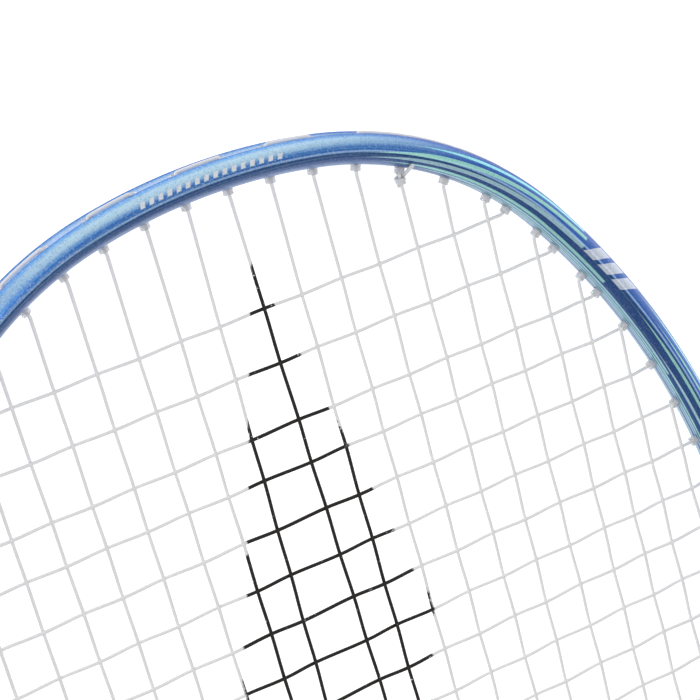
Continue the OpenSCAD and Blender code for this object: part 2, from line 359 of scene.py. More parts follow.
@dataclass(frozen=True)
class Finish:
    """A material: a name, its gloss and how its varying parts are made.

    Attributes:
        name: What the material is called, without the ending that marks a look.
        gloss: What is the same all over it.
    """

    name: str
    gloss: Gloss

    def varying(self, graph: Graph) -> dict[str, Wire]:
        """The sockets that vary over the surface. Each finish has its own."""
        raise NotImplementedError

    def make(self) -> bpy.types.Material:
        """Builds the material, or returns it if it is there already.

        Returns:
            The material.
        """
        label = f"{self.name}_look"
        found = bpy.data.materials.get(label)
        if found:
            return found
        material = bpy.data.materials.new(label)
        material.use_nodes = True
        material.node_tree.nodes.clear()
        graph = Graph(material.node_tree)
        inputs = {**self.gloss.sockets(), **self.varying(graph)}
        shader = graph.out("ShaderNodeBsdfPrincipled", inputs=inputs)
        graph.node("ShaderNodeOutputMaterial", inputs={"Surface": shader})
        return material


class Paint(Enum):
    """The racket's paints, and the colours of the highlights, shade, shadow and reflections painted on the
    hoop.
    """

    SKY = srgb(84, 158, 230)
    # Colour of the painted highlights on the hoop's front and along its crease.
    HIGHLIGHT_SKY = srgb(198, 234, 255)
    # Deeper sky paint, and the painted shade on the hoop's front.
    DEEP_SKY_AND_SHADE = srgb(30, 96, 186)
    ROYAL = srgb(30, 94, 186)
    # Also the painted shadow along the groove's lip.
    DEEP_ROYAL = srgb(26, 74, 168)
    # Also the painted shade of the hoop's inner bevel.
    NAVY = srgb(32, 76, 138)
    # Also the painted reflection on the hoop's inner bevel.
    LAVENDER = srgb(108, 138, 192)
    CYAN = srgb(158, 240, 250)
    MINT = srgb(172, 238, 224)
    # Colour of the painted reflection on the hoop's outer rim.
    SAGE = srgb(182, 224, 234)
    RIM_REFLECTION = srgb(176, 204, 240)
    WHITE = srgb(238, 243, 248)
    SILVER = srgb(220, 228, 240)


FLAKES = 5200.0  # paint flakes in a metre


def orange_peel(graph: Graph) -> Wire:
    """The faint waviness of sprayed lacquer, as a normal."""
    return graph.bump(graph.noise(900, 2), 0.012)


@dataclass(frozen=True)
class Stripe:
    """A painted line along the hoop.

    Attributes:
        start, end: Length along the hoop from its top, and distance from the crease.
        width: Its full width.
        paint: Its paint.
        strength: How well it covers, from 0 to 1.
    """

    start: tuple[float, float]
    end: tuple[float, float]
    width: float
    paint: Paint
    strength: float = 1.0

    def mask(self, along: Wire, around: Wire) -> Wire:
        """One on the stripe, tapering to nothing at its start.

        Args:
            along: Length along the hoop from its top.
            around: Distance round the section from the crease.

        Returns:
            The mask, from 0 to 1.
        """
        slope = (self.end[1] - self.start[1]) / (self.end[0] - self.start[0])
        off = abs(around - ((along - self.start[0]) * slope + self.start[1]))
        taper = along.ramp(self.start[0], self.start[0] + 18) * (self.width / 2)
        line = (taper - off).ramp(-0.06, 0.06)
        return line * along.ramp(self.end[0] + 0.3, self.end[0] - 0.3) * self.strength


@dataclass(frozen=True)
class HoopPaint(Finish):
    """Metallic lacquer in two blues, with long stripes and plain marks; the inner bevel is darkened with
    painted shade, and painted highlights, reflections and a painted shadow lie on the front and the rim.

    Attributes:
        stripes: The stripes, each painted over the ones before it.
    """

    stripes: tuple[Stripe, ...] = (
        Stripe((41, 1.9), (87, 3.5), 0.80, Paint.CYAN),
        Stripe((66, 4.0), (90, 4.2), 0.35, Paint.LAVENDER, 0.9),
        Stripe((32, -0.4), (88, 1.8), 0.95, Paint.MINT, 0.9),
        Stripe((30, -1.6), (88, -0.4), 0.90, Paint.SAGE, 0.84),
        Stripe((34, -2.8), (98, -2.6), 0.75, Paint.MINT, 0.8),
        Stripe((40, -3.6), (126, -3.7), 0.55, Paint.SAGE, 0.8),
        Stripe((50, -4.3), (190, -4.5), 0.40, Paint.MINT, 0.85),
        Stripe((46, -5.1), (190, -5.2), 0.45, Paint.SAGE, 0.85),
        Stripe((56, -5.9), (190, -5.9), 0.40, Paint.SAGE, 0.75),
        Stripe((104, 2.7), (170, 3.5), 0.70, Paint.CYAN),
        Stripe((110, 1.0), (180, 1.3), 0.55, Paint.MINT, 0.95),
        Stripe((106, -0.9), (180, -0.9), 0.60, Paint.MINT, 0.85),
        Stripe((116, -2.9), (186, -2.5), 0.60, Paint.SAGE, 0.9),
    )

    def varying(self, graph: Graph) -> dict[str, Wire]:
        """Colour by place along and around the hoop, and sparkle.

        Args:
            graph: The finish's graph.

        Returns:
            Wires by socket name.
        """
        along, around = graph.wrap_place()
        right = (along + graph.noise(30, 2) * 6).ramp(14, 66)
        royal = right | along.ramp(-150, -230)
        bevel = around.ramp(0.0, -0.35)
        colour = self.front(graph, along, around, royal)
        colour = self.edges(graph, colour, around, royal, bevel)
        for stripe in self.stripes:
            colour = graph.mix(stripe.mask(along, around), colour, stripe.paint.value)
        colour = graph.mix(self.dashes(along, around) * 0.95, colour, Paint.WHITE.value)
        colour = graph.mix(self.badge(along, around) * 0.9, colour, Paint.SILVER.value)
        flakes = graph.flakes(FLAKES)
        glitter = flakes.ramp(0.70, 1.0) * (0.28 - (royal | bevel) * 0.18)
        colour = graph.mix(glitter, colour, Paint.WHITE.value)
        colour = graph.mix(flakes.ramp(0.35, 0.0) * 0.30, colour, Paint.NAVY.value)
        return {"Base Color": colour, "Normal": orange_peel(graph)}

    @staticmethod
    def front(graph: Graph, along: Wire, around: Wire, royal: Wire) -> Wire:
        """The front face: sky blue turning royal down both sides, with a painted highlight along its middle,
        painted shade deepening towards the left, and deeper paint with painted shade next to the crease.

        Args:
            graph: The finish's graph.
            along: Length along the hoop from its top.
            around: Distance round the section from the crease.
            royal: Share of royal blue.

        Returns:
            The colour.
        """
        sky = 1 - royal
        colour = graph.mix(royal, Paint.SKY.value, Paint.ROYAL.value)
        # Painted highlight: a pale band along the middle of the sky blue front, fading from 24 to 50 mm left
        # of the top.
        middle = around.ramp(0.6, 2.4) & around.ramp(4.2, 2.8)
        highlight_strength = along.ramp(-50, -24) * 0.35 + 0.6
        colour = graph.mix(middle * sky * highlight_strength, colour, Paint.HIGHLIGHT_SKY.value)
        # Painted shade: the sky blue darkens from 30 mm left of the top, where the highlight fades.
        colour = graph.mix(along.ramp(-30, -60) * sky * 0.28, colour, Paint.DEEP_SKY_AND_SHADE.value)
        # Deeper sky paint and painted shade next to the crease.
        return graph.mix(around.ramp(1.9, 0.2) * sky * 0.95, colour, Paint.DEEP_SKY_AND_SHADE.value)

    @staticmethod
    def edges(graph: Graph, colour: Wire, around: Wire, royal: Wire, bevel: Wire) -> Wire:
        """The inner bevel in painted shade with a painted reflection at its inner edge, a painted highlight
        along the crease, a painted reflection on the pale outer rim and a painted shadow at the groove's lip.

        Args:
            graph: The finish's graph.
            colour: The front's colour.
            around: Distance round the section from the crease.
            royal: Share of royal blue.
            bevel: One on the inner bevel.

        Returns:
            The colour with the edges on it.
        """
        sky = 1 - royal
        # Painted shade: the inner bevel is navy.
        colour = graph.mix(bevel, colour, Paint.NAVY.value)
        # Painted reflection of the pale floor: lavender towards the inner bevel's lower edge.
        colour = graph.mix(bevel * around.ramp(-1.4, -4.4) * sky * 0.9, colour, Paint.LAVENDER.value)
        # Painted highlight: a pale line along the crease.
        colour = graph.mix(abs(around).ramp(0.32, 0.08) * 0.45, colour, Paint.HIGHLIGHT_SKY.value)
        colour = graph.mix(around.ramp(3.1, 4.4) * royal * 0.9, colour, Paint.DEEP_ROYAL.value)
        # Painted reflection: a pale rim on the sky blue part, just past the groove's lip.
        colour = graph.mix(around.ramp(4.9, 5.3) * sky * 0.85, colour, Paint.RIM_REFLECTION.value)
        # Painted shadow: a dark line along the groove's lip.
        return graph.mix(abs(around - 4.55).ramp(0.45, 0.15) * 0.8, colour, Paint.DEEP_ROYAL.value)

    @staticmethod
    def dashes(along: Wire, around: Wire) -> Wire:
        """A row of slanted white dashes on the front at the top.

        Args:
            along: Length along the hoop from its top.
            around: Distance round the section from the crease.

        Returns:
            A mask, one on the dashes.
        """
        slanted = (along - around * 0.45) / 1.9
        bar = abs(slanted.fraction() - 0.5).ramp(0.29, 0.22)
        rows = around.ramp(0.6, 0.75) & around.ramp(1.95, 1.8)
        reach = along.ramp(-14.9, -14.7) & along.ramp(16.2, 16.0)
        return bar & rows & reach

    @staticmethod
    def badge(along: Wire, around: Wire) -> Wire:
        """Three broad slanted bars on the right shoulder.

        Args:
            along: Length along the hoop from its top.
            around: Distance round the section from the crease.

        Returns:
            A mask, one on the bars.
        """
        slanted = (along - around * 0.9 - 88.6) / 4.8
        bar = abs(slanted.fraction() - 0.5).ramp(0.36, 0.33)
        rows = around.ramp(-0.95, -0.8) & around.ramp(3.6, 3.45)
        reach = slanted.ramp(0.0, 0.01) & slanted.ramp(3.0, 2.99)
        return bar & rows & reach


@dataclass(frozen=True)
class ShaftPaint(Finish):
    """The hoop's lacquer carried down the shaft, with thin rings and slim stripes.

    Attributes:
        slim_stripes: Each one's start and end along Y, its middle's x and its paint.
        thin_rings: Each one's Y.
    """

    slim_stripes: tuple[tuple[float, float, float, Paint], ...] = (
        (232, 352, 0.9, Paint.CYAN),
        (246, 372, -0.7, Paint.MINT),
    )
    thin_rings: tuple[float, ...] = (216.0, 218.5)

    def varying(self, graph: Graph) -> dict[str, Wire]:
        """Colour by place along the shaft, and sparkle.

        Args:
            graph: The finish's graph.

        Returns:
            Wires by socket name.
        """
        x, y, _ = graph.object_place()
        colour = graph.mix(y.ramp(250, 360), Paint.SKY.value, Paint.ROYAL.value)
        colour = graph.mix(y.ramp(225, 206), colour, Paint.NAVY.value)
        for start, end, place, paint in self.slim_stripes:
            off = abs(x - ((y - start) / (end - start) * 2.0 + place - 1.0))
            line = (y.ramp(start, start + 50) * 0.28 - off).ramp(-0.05, 0.05)
            colour = graph.mix(line * y.ramp(end, end - 1), colour, paint.value)
        for ring in self.thin_rings:
            colour = graph.mix(abs(y - ring).ramp(0.5, 0.4), colour, Paint.SILVER.value)
        glitter = graph.flakes(FLAKES).ramp(0.82, 1.0) * 0.22
        colour = graph.mix(glitter, colour, Paint.WHITE.value)
        return {"Base Color": colour, "Normal": orange_peel(graph)}


@dataclass(frozen=True)
class StringFinish(Finish):
    """White multifilament nylon with a solid diamond stencilled in black ink.

    Attributes:
        tip: The diamond's upper tip.
        half_width: Its half-width at its widest.
        above, below: How far its tips stand above and below that.
        lean: How far it leans to the left for each millimetre down.
    """

    tip: tuple[float, float] = (5.0, 654.0)
    half_width: float = 22.5
    above: float = 84.0
    below: float = 94.0
    lean: float = 0.06

    def varying(self, graph: Graph) -> dict[str, Wire]:
        """Ink inside the diamond, patchy at its edge, and fine twisted filaments.

        Args:
            graph: The finish's graph.

        Returns:
            Wires by socket name.
        """
        x, y, _ = graph.object_place()
        drop = self.tip[1] - y
        side = abs(x - self.tip[0] + drop * self.lean) / self.half_width
        end = (self.above - drop) / self.above | (drop - self.above) / self.below
        edge = side + end + (graph.noise(420, 3) - 0.5) * 0.10
        dry = graph.noise(1500, 3) + edge.ramp(0.88, 0.99) * 0.10
        ink = edge.ramp(1.0, 0.98) * dry.ramp(0.80, 0.68)
        fibre = graph.noise(2600, 2)
        white = graph.mix(fibre, srgb(230, 229, 230), srgb(249, 248, 248))
        colour = graph.mix(ink, white, srgb(40, 38, 36))
        return {"Base Color": colour, "Normal": graph.bump(fibre, 0.03)}


@dataclass(frozen=True)
class Speckled(Finish):
    """A plain stuff whose colour drifts between two and whose surface has a fine grain.

    Attributes:
        dark, light: The two colours.
        clouds: Clouds of colour in a metre.
        grain: Grains in a metre.
        depth: Height of the grain, in millimetres.
    """

    dark: Colour = (0.1, 0.1, 0.1)
    light: Colour = (0.2, 0.2, 0.2)
    clouds: float = 60.0
    grain: float = 2500.0
    depth: float = 0.02

    def varying(self, graph: Graph) -> dict[str, Wire]:
        """Clouded colour, uneven gloss and grain.

        Args:
            graph: The finish's graph.

        Returns:
            Wires by socket name.
        """
        cloud = graph.noise(self.clouds, 4)
        grain = graph.noise(self.grain, 3)
        colour = graph.mix(cloud * 0.7 + grain * 0.3, self.dark, self.light)
        rough = (cloud - 0.5) * 0.12 + self.gloss.roughness
        return {"Base Color": colour, "Roughness": rough, "Normal": graph.bump(grain, self.depth)}


@dataclass(frozen=True)
class Grained(Finish):
    """Wood or brushed metal: streaks along Y.

    Attributes:
        dark, light: The two colours.
        across: Streaks in a metre across them.
        depth: Height of the streaks, in millimetres.
    """

    dark: Colour = (0.3, 0.2, 0.1)
    light: Colour = (0.5, 0.35, 0.2)
    across: float = 900.0
    depth: float = 0.05

    def varying(self, graph: Graph) -> dict[str, Wire]:
        """Streaked colour and bump.

        Args:
            graph: The finish's graph.

        Returns:
            Wires by socket name.
        """
        x, y, z = graph.object_place()
        streaks = graph.noise(self.across * MM, 4, 0.6, graph.joined(x, y * 0.06, z))
        colour = graph.mix(streaks, self.dark, self.light)
        return {"Base Color": colour, "Normal": graph.bump(streaks, self.depth)}


@dataclass(frozen=True)
class GripFinish(Finish):
    """Tacky polyurethane tape: pale, pored and punched, with painted shade darkening the holes and, a little,
    the overlap's step.

    Attributes:
        lead: How far the tape climbs in a turn.
        pitch: Spacing of the punched holes, a seventh of the lead.
    """

    lead: float = 22.4
    pitch: float = 3.2

    def varying(self, graph: Graph) -> dict[str, Wire]:
        """Colour, pores and the rows of punched holes.

        Args:
            graph: The finish's graph.

        Returns:
            Wires by socket name.
        """
        along, around = graph.wrap_place()
        pores = graph.noise(2600, 3)
        soil = graph.noise(45, 4)
        colour = graph.mix(soil, srgb(226, 229, 234), srgb(240, 241, 243))
        u = (along / self.pitch).fraction() - 0.5
        v = (around / self.pitch).fraction() - 0.5
        hole = (u * u + v * v).ramp(0.030, 0.016)
        # Painted shade in the punched holes.
        colour = graph.mix(hole * 0.75, colour, srgb(120, 126, 136))
        across = (around / self.lead).fraction() * self.lead
        seam = across.ramp(1.3, 0.2)
        # Painted shade along the step where one turn of tape meets the next.
        colour = graph.mix(seam * 0.6, colour, srgb(138, 145, 160))
        height = pores * 0.3 + (1 - hole) * 0.7
        return {"Base Color": colour, "Normal": graph.bump(height, 0.18)}


# The finishes, one for each stuff on the racket
HOOP_PAINT = HoopPaint(
    "hoop_lacquer",
    Gloss(roughness=0.38, metallic=0.45, coat=0.25, coat_roughness=0.12, specular=0.3),
)
SHAFT_PAINT = ShaftPaint(
    "shaft_lacquer",
    Gloss(roughness=0.36, metallic=0.45, coat=0.35, coat_roughness=0.10, specular=0.4),
)
STRING_NYLON = StringFinish("string_nylon", Gloss(roughness=0.55, specular=0.2))
KNOT_NYLON = Speckled(
    "knot_nylon",
    Gloss(roughness=0.5, specular=0.3),
    dark=srgb(214, 214, 216),
    light=srgb(238, 238, 240),
    clouds=300,
    grain=2600,
    depth=0.03,
)
CLEAR_NYLON = Speckled(
    "clear_nylon",
    Gloss(roughness=0.16, clear=0.4, ior=1.36, cover=0.7),
    dark=srgb(236, 236, 240),
    light=srgb(252, 252, 253),
    clouds=400,
    grain=1800,
    depth=0.02,
)
CONE_PLASTIC = Speckled(
    "cone_plastic",
    Gloss(roughness=0.32, coat=0.3, coat_roughness=0.15),
    dark=srgb(20, 36, 84),
    light=srgb(28, 50, 108),
    clouds=80,
    grain=2600,
    depth=0.02,
)
PLATE_PLASTIC = Speckled(
    "plate_plastic",
    Gloss(roughness=0.5),
    dark=srgb(26, 40, 84),
    light=srgb(38, 56, 104),
    clouds=70,
    grain=2200,
    depth=0.05,
)
BAND_TAPE = Speckled(
    "band_tape",
    Gloss(roughness=0.45),
    dark=srgb(22, 40, 96),
    light=srgb(34, 58, 124),
    clouds=120,
    grain=1400,
    depth=0.04,
)
JOINT_METAL = Grained(
    "joint_metal",
    Gloss(roughness=0.35, metallic=1.0),
    dark=srgb(150, 152, 156),
    light=srgb(196, 198, 202),
    across=1600,
    depth=0.02,
)
HANDLE_WOOD = Grained(
    "handle_wood",
    Gloss(roughness=0.62),
    dark=srgb(176, 132, 86),
    light=srgb(214, 178, 130),
    across=500,
    depth=0.08,
)
PLUG_RUBBER = Speckled(
    "plug_rubber",
    Gloss(roughness=0.8),
    dark=srgb(30, 30, 32),
    light=srgb(48, 48, 50),
    clouds=90,
    grain=1800,
    depth=0.06,
)
CUSHION_FOAM = Speckled(
    "cushion_foam",
    Gloss(roughness=0.9, sheen=0.2),
    dark=srgb(196, 198, 204),
    light=srgb(222, 224, 228),
    clouds=90,
    grain=1500,
    depth=0.15,
)
GRIP_TAPE = GripFinish("grip_tape_pu", Gloss(roughness=0.62, sheen=0.15, specular=0.4))


# -------------------------------------------------------------------- meshes

Point = Union[Vector, tuple[float, float, float]]


def shell(
    name: str,
    rings: Sequence[Sequence[Point]],
    looped: bool = False,
    wrap: Optional[Callable[[int, int], tuple[float, float]]] = None,
) -> bpy.types.Object:
    """A closed skin over a row of rings that have as many points each.

    Args:
        name: The piece's name.
        rings: The rings, in millimetres, each a closed line of points.
        looped: True if the last ring joins the first; otherwise both ends are closed.
        wrap: Gives the coordinates along and around of a ring and point number, counted past the seam.

    Returns:
        The new object, smooth, at the origin.
    """
    many = len(rings[0])
    mesh = bpy.data.meshes.new(name)
    points = [Vector(p) * MM for ring in rings for p in ring]
    last = len(rings) if looped else len(rings) - 1
    faces, places = [], []
    for k in range(last):
        for j in range(many):
            corners = ((k, j), (k + 1, j), (k + 1, j + 1), (k, j + 1))
            faces.append([(a % len(rings)) * many + b % many for a, b in corners])
            places += [wrap(a, b) if wrap else (a, b) for a, b in corners]
    if not looped:
        for k, order in ((0, range(many)), (last, range(many - 1, -1, -1))):
            faces.append([k * many + j for j in order])
            places += [wrap(k, j) if wrap else (k, j) for j in order]
    mesh.from_pydata(points, [], faces)
    layer = mesh.uv_layers.new(name=WRAP)
    for loop, place in zip(layer.data, places):
        loop.uv = place
    piece = bpy.data.objects.new(name, mesh)
    bpy.context.scene.collection.objects.link(piece)
    tidied(piece)
    return piece


def tidied(piece: bpy.types.Object) -> None:
    """Turns a closed piece's faces outwards and shades it smooth.

    Args:
        piece: The piece, changed in place.
    """
    work = bmesh.new()
    work.from_mesh(piece.data)
    bmesh.ops.recalc_face_normals(work, faces=work.faces)
    work.to_mesh(piece.data)
    work.free()
    piece.data.shade_smooth()


def turned(name: str, profile: Sequence[tuple[float, float]], sides: int = 64) -> bpy.types.Object:
    """A turned piece about the Y axis.

    Args:
        name: The piece's name.
        profile: Places along Y and radii, in millimetres.
        sides: Points in each ring.

    Returns:
        The new object.
    """
    angles = [2 * math.pi * j / sides for j in range(sides)]
    rings = [[(r * math.cos(a), y, r * math.sin(a)) for a in angles] for y, r in profile]

    def wrap(k: int, j: int) -> tuple[float, float]:
        """Place along Y and degrees of a ring and point number."""
        return profile[k][0], 360.0 * j / sides

    return shell(name, rings, wrap=wrap)


def dress(
    piece: bpy.types.Object,
    finish: Finish,
    stands_for: Sequence[str] = (),
) -> bpy.types.Object:
    """Gives a new piece its finish and its body, and hides the CAD nodes that it stands for.

    Args:
        piece: The piece.
        finish: Its finish.
        stands_for: CAD nodes that it replaces.

    Returns:
        The piece.
    """
    material = finish.make()
    if piece.data.materials:
        piece.data.materials[0] = material
    else:
        piece.data.materials.append(material)
    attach(piece, BODY)
    if stands_for:
        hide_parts(*stands_for)
    log.info("%s: %d faces, finish %s", piece.name, len(piece.data.polygons), finish.name)
    return piece


def redress(node: bpy.types.Object, finish: Finish) -> None:
    """Gives a CAD node that stays its own finish.

    Args:
        node: The CAD node.
        finish: Its finish.
    """
    for number in range(len(node.data.materials)):
        node.data.materials[number] = finish.make()
    if not node.data.materials:
        node.data.materials.append(finish.make())
    log.info("%s: CAD node, finish %s", node.name, finish.name)


# --------------------------------------------------------- lines of the head


@dataclass
class HoopLine:
    """Centre line of the hoop: five tangent arcs from the top to the throat, mirrored.

    Attributes:
        top_y: Y of the centre line at the top.
        radii: Radii of the first four arcs.
        ends: Angles above the cross line at which the arcs start and end, in degrees.
        centres: The five arcs' centres, worked out from those.
        starts: Length at which each arc starts, and the whole length.
    """

    top_y: float
    radii: list[float] = field(default_factory=lambda: [119.8, 72.2, 172.0, 125.0])
    ends: tuple[float, ...] = (90.0, 78.6, 34.9, -5.0, -58.0, -90.0)
    centres: list[Vector] = field(init=False)
    starts: list[float] = field(init=False)

    def __post_init__(self) -> None:
        """Works out the arcs' centres, the throat's radius and where each arc starts."""
        centre = Vector((0.0, self.top_y - self.radii[0]))
        self.centres = [centre]
        for k in range(1, 4):
            centre = centre + (self.radii[k - 1] - self.radii[k]) * self._way(self.ends[k])
            self.centres.append(centre)
        bend = math.radians(self.ends[4])
        throat = self.radii[3] + centre.x / math.cos(bend)
        self.centres.append(Vector((0.0, centre.y + (self.radii[3] - throat) * math.sin(bend))))
        self.radii.append(throat)
        self.starts = [0.0]
        for k in range(5):
            self.starts.append(self.starts[k] + self.radii[k] * math.radians(self.ends[k] - self.ends[k + 1]))

    @staticmethod
    def _way(degrees: float) -> Vector:
        """The direction at that angle."""
        return Vector((math.cos(math.radians(degrees)), math.sin(math.radians(degrees))))

    @property
    def half(self) -> float:
        """Length of the centre line from the top to the throat."""
        return self.starts[5]

    @property
    def bottom_y(self) -> float:
        """Y of the centre line at the throat."""
        return self.centres[4].y - self.radii[4]

    def _arc(self, s: float) -> int:
        """Number of the arc that holds that length."""
        return max(k for k in range(5) if k == 0 or s >= self.starts[k])

    def angle(self, s: float) -> float:
        """Outward direction at that length, in degrees."""
        k = self._arc(s)
        return self.ends[k] - math.degrees((s - self.starts[k]) / self.radii[k])

    def place(self, s: float, r: float, side: int = 1, z: float = 0.0) -> Vector:
        """A point at a length from the top, a depth from the centre line and a height.

        Args:
            s: Length along the centre line from the top.
            r: Depth outwards.
            side: 1 on the right and -1 on the left.
            z: Height above the string bed's middle plane.

        Returns:
            The point.
        """
        k = self._arc(s)
        spot = self.centres[k] + (self.radii[k] + r) * self._way(self.angle(s))
        return Vector((side * spot.x, spot.y, z))

    def outward(self, s: float, side: int) -> Vector:
        """Outward direction at a length, on one side."""
        way = self._way(self.angle(s))
        return Vector((side * way.x, way.y, 0.0))

    def length_at_x(self, x: float, r: float, upper: bool) -> float:
        """Where the line at that depth reaches an x, in the upper or the lower half."""
        return self._length(0, x, r, 1 if upper else -1)

    def length_at_y(self, y: float, r: float) -> float:
        """Where the line at that depth reaches a y."""
        return self._length(1, y, r)

    def _length(self, axis: int, value: float, r: float, half: int = 1) -> float:
        """The first length at which one coordinate has a value.

        Args:
            axis: 0 for X and 1 for Y.
            value: The coordinate's value.
            r: Depth, outwards from the centre line.
            half: 1 for the upper half and -1 for the lower, if the coordinate is X.

        Returns:
            The length from the top.
        """
        for k in range(5):
            share = (value - self.centres[k][axis]) / (self.radii[k] + r)
            if abs(share) <= 1:
                angle = math.degrees(math.asin(share) if axis else half * math.acos(share))
                if self.ends[k + 1] <= angle <= self.ends[k]:
                    return self.starts[k] + math.radians(self.ends[k] - angle) * self.radii[k]
        raise ValueError(f"the hoop never reaches {value}")


@dataclass(frozen=True)
class Section:
    """The hoop's section: depth outwards and height, and the distance round it from the crease.

    Attributes:
        floor: Depth of the groove's floor.
        floor_half: Half-width of that floor.
        lip: The groove's lip.
        crease: The sharp ridge of the front face.
        shoulder: Where the inner bevel meets the inner wall.
        wall: Depth of the inner wall.
        bulge: How far the front, the bevel and the wall stand out of straight lines.
        points: Points round the section.
    """

    floor: float = 2.3
    floor_half: float = 1.3
    lip: tuple[float, float] = (3.12, 2.15)
    crease: tuple[float, float] = (-0.25, 5.38)
    shoulder: tuple[float, float] = (-3.02, 2.25)
    wall: float = -3.3
    bulge: tuple[float, float, float] = (0.42, 0.34, 0.08)
    points: int = 96

    def upper_half(self) -> list[Vector]:
        """The upper half's outline from the groove's floor over the crease to the inner wall.

        Returns:
            Points, as depth and height.
        """
        floor = [Vector((self.floor, 0.0)), Vector((self.floor, self.floor_half))]
        lip, crease, shoulder = Vector(self.lip), Vector(self.crease), Vector(self.shoulder)
        wall = Vector((self.wall, 0.0))
        line = floor + [floor[1].lerp(lip, 0.5)]
        for start, end, bulge in zip((lip, crease, shoulder), (crease, shoulder, wall), self.bulge):
            line += self._bowed(start, end, bulge)
        return line + [wall]

    @staticmethod
    def _bowed(start: Vector, end: Vector, bulge: float, steps: int = 16) -> list[Vector]:
        """Points of a shallow bow from start up to just before end.

        Args:
            start: Where the bow starts.
            end: Where it ends.
            bulge: How far its middle stands out.
            steps: How many points it has.

        Returns:
            The points.
        """
        across = (end - start).normalized()
        out = Vector((across.y, -across.x))
        shares = [k / steps for k in range(steps)]
        return [start.lerp(end, t) + out * bulge * 4 * t * (1 - t) for t in shares]

    def outline(self) -> list[Vector]:
        """The whole section, evenly spaced and a little softened at its corners.

        Returns:
            Points, as depth and height.
        """
        half = self.upper_half()
        ring = half + [Vector((p.x, -p.y)) for p in reversed(half[1:-1])]
        even = evenly(ring + [ring[0]], self.points)
        for _ in range(2):
            even = [
                (even[k - 1] + even[k] * 2 + even[(k + 1) % self.points]) / 4 for k in range(self.points)
            ]
        return even

    def distances(self, outline: Sequence[Vector]) -> list[float]:
        """Distance along the outline from the nearer crease, outwards positive.

        Args:
            outline: The section's points.

        Returns:
            A distance for each point, and for the first again.
        """
        many = len(outline)
        steps = [(outline[(k + 1) % many] - outline[k]).length for k in range(many)]
        heights = [point.y for point in outline]
        top = heights.index(max(heights))
        found = [0.0] * (many // 2 + 1)
        for k in range(many // 2 + 1):
            low, high = min(k, top), max(k, top)
            found[k] = sum(steps[low:high]) * (1 if k < top else -1)
        return found + [found[many - k] for k in range(many // 2 + 1, many + 1)]


def evenly(line: Sequence[Vector], count: int) -> list[Vector]:
    """Points evenly spaced along an open line, without its last point.

    Args:
        line: The line's points.
        count: How many points to return.

    Returns:
        The new points.
    """
    lengths = [0.0]
    for a, b in zip(line, line[1:]):
        lengths.append(lengths[-1] + (b - a).length)
    result, k = [], 0
    for n in range(count):
        wanted = lengths[-1] * n / count
        while lengths[k + 1] < wanted:
            k += 1
        share = (wanted - lengths[k]) / (lengths[k + 1] - lengths[k])
        result.append(line[k].lerp(line[k + 1], share))
    return result


def softened(path: Sequence[Vector], setback: float, steps: int = 5) -> list[Vector]:
    """A path whose sharp turns are rounded.

    Args:
        path: The path's points.
        setback: How far before a turn its rounding starts.
        steps: Points along each rounding.

    Returns:
        The new path.
    """
    result = [path[0]]
    for before, corner, after in zip(path, path[1:], path[2:]):
        way_in, way_out = corner - before, after - corner
        if way_in.angle(way_out, 0.0) < math.radians(14):
            result.append(corner)
            continue
        start = corner - way_in.normalized() * min(setback, way_in.length * 0.45)
        end = corner + way_out.normalized() * min(setback, way_out.length * 0.45)
        for n in range(steps + 1):
            t = n / steps
            result.append(start * (1 - t) ** 2 + corner * (2 * t * (1 - t)) + end * t**2)
    return result + [path[-1]]


# ------------------------------------------------------------------- the head


@dataclass
class Hoop:
    """The head's tube.

    Attributes:
        line: Its centre line.
        section: Its section.
        steps: Rings round the head.
    """

    line: HoopLine
    section: Section = field(default_factory=Section)
    steps: int = 460

    def build(self) -> bpy.types.Object:
        """Sweeps the section round the head and paints it.

        Returns:
            The hoop.
        """
        outline = self.section.outline()
        around = self.section.distances(outline)
        total = 2 * self.line.half
        rings = []
        for k in range(self.steps):
            u = total * k / self.steps - self.line.half
            side = 1 if u >= 0 else -1
            rings.append([self.line.place(abs(u), q.x, side, q.y) for q in outline])

        def wrap(k: int, j: int) -> tuple[float, float]:
            """Length from the top and distance from the crease of a ring and point number."""
            return total * k / self.steps - self.line.half, around[j]

        piece = shell("painted_hoop", rings, looped=True, wrap=wrap)
        return dress(piece, HOOP_PAINT, ["head_frame"])


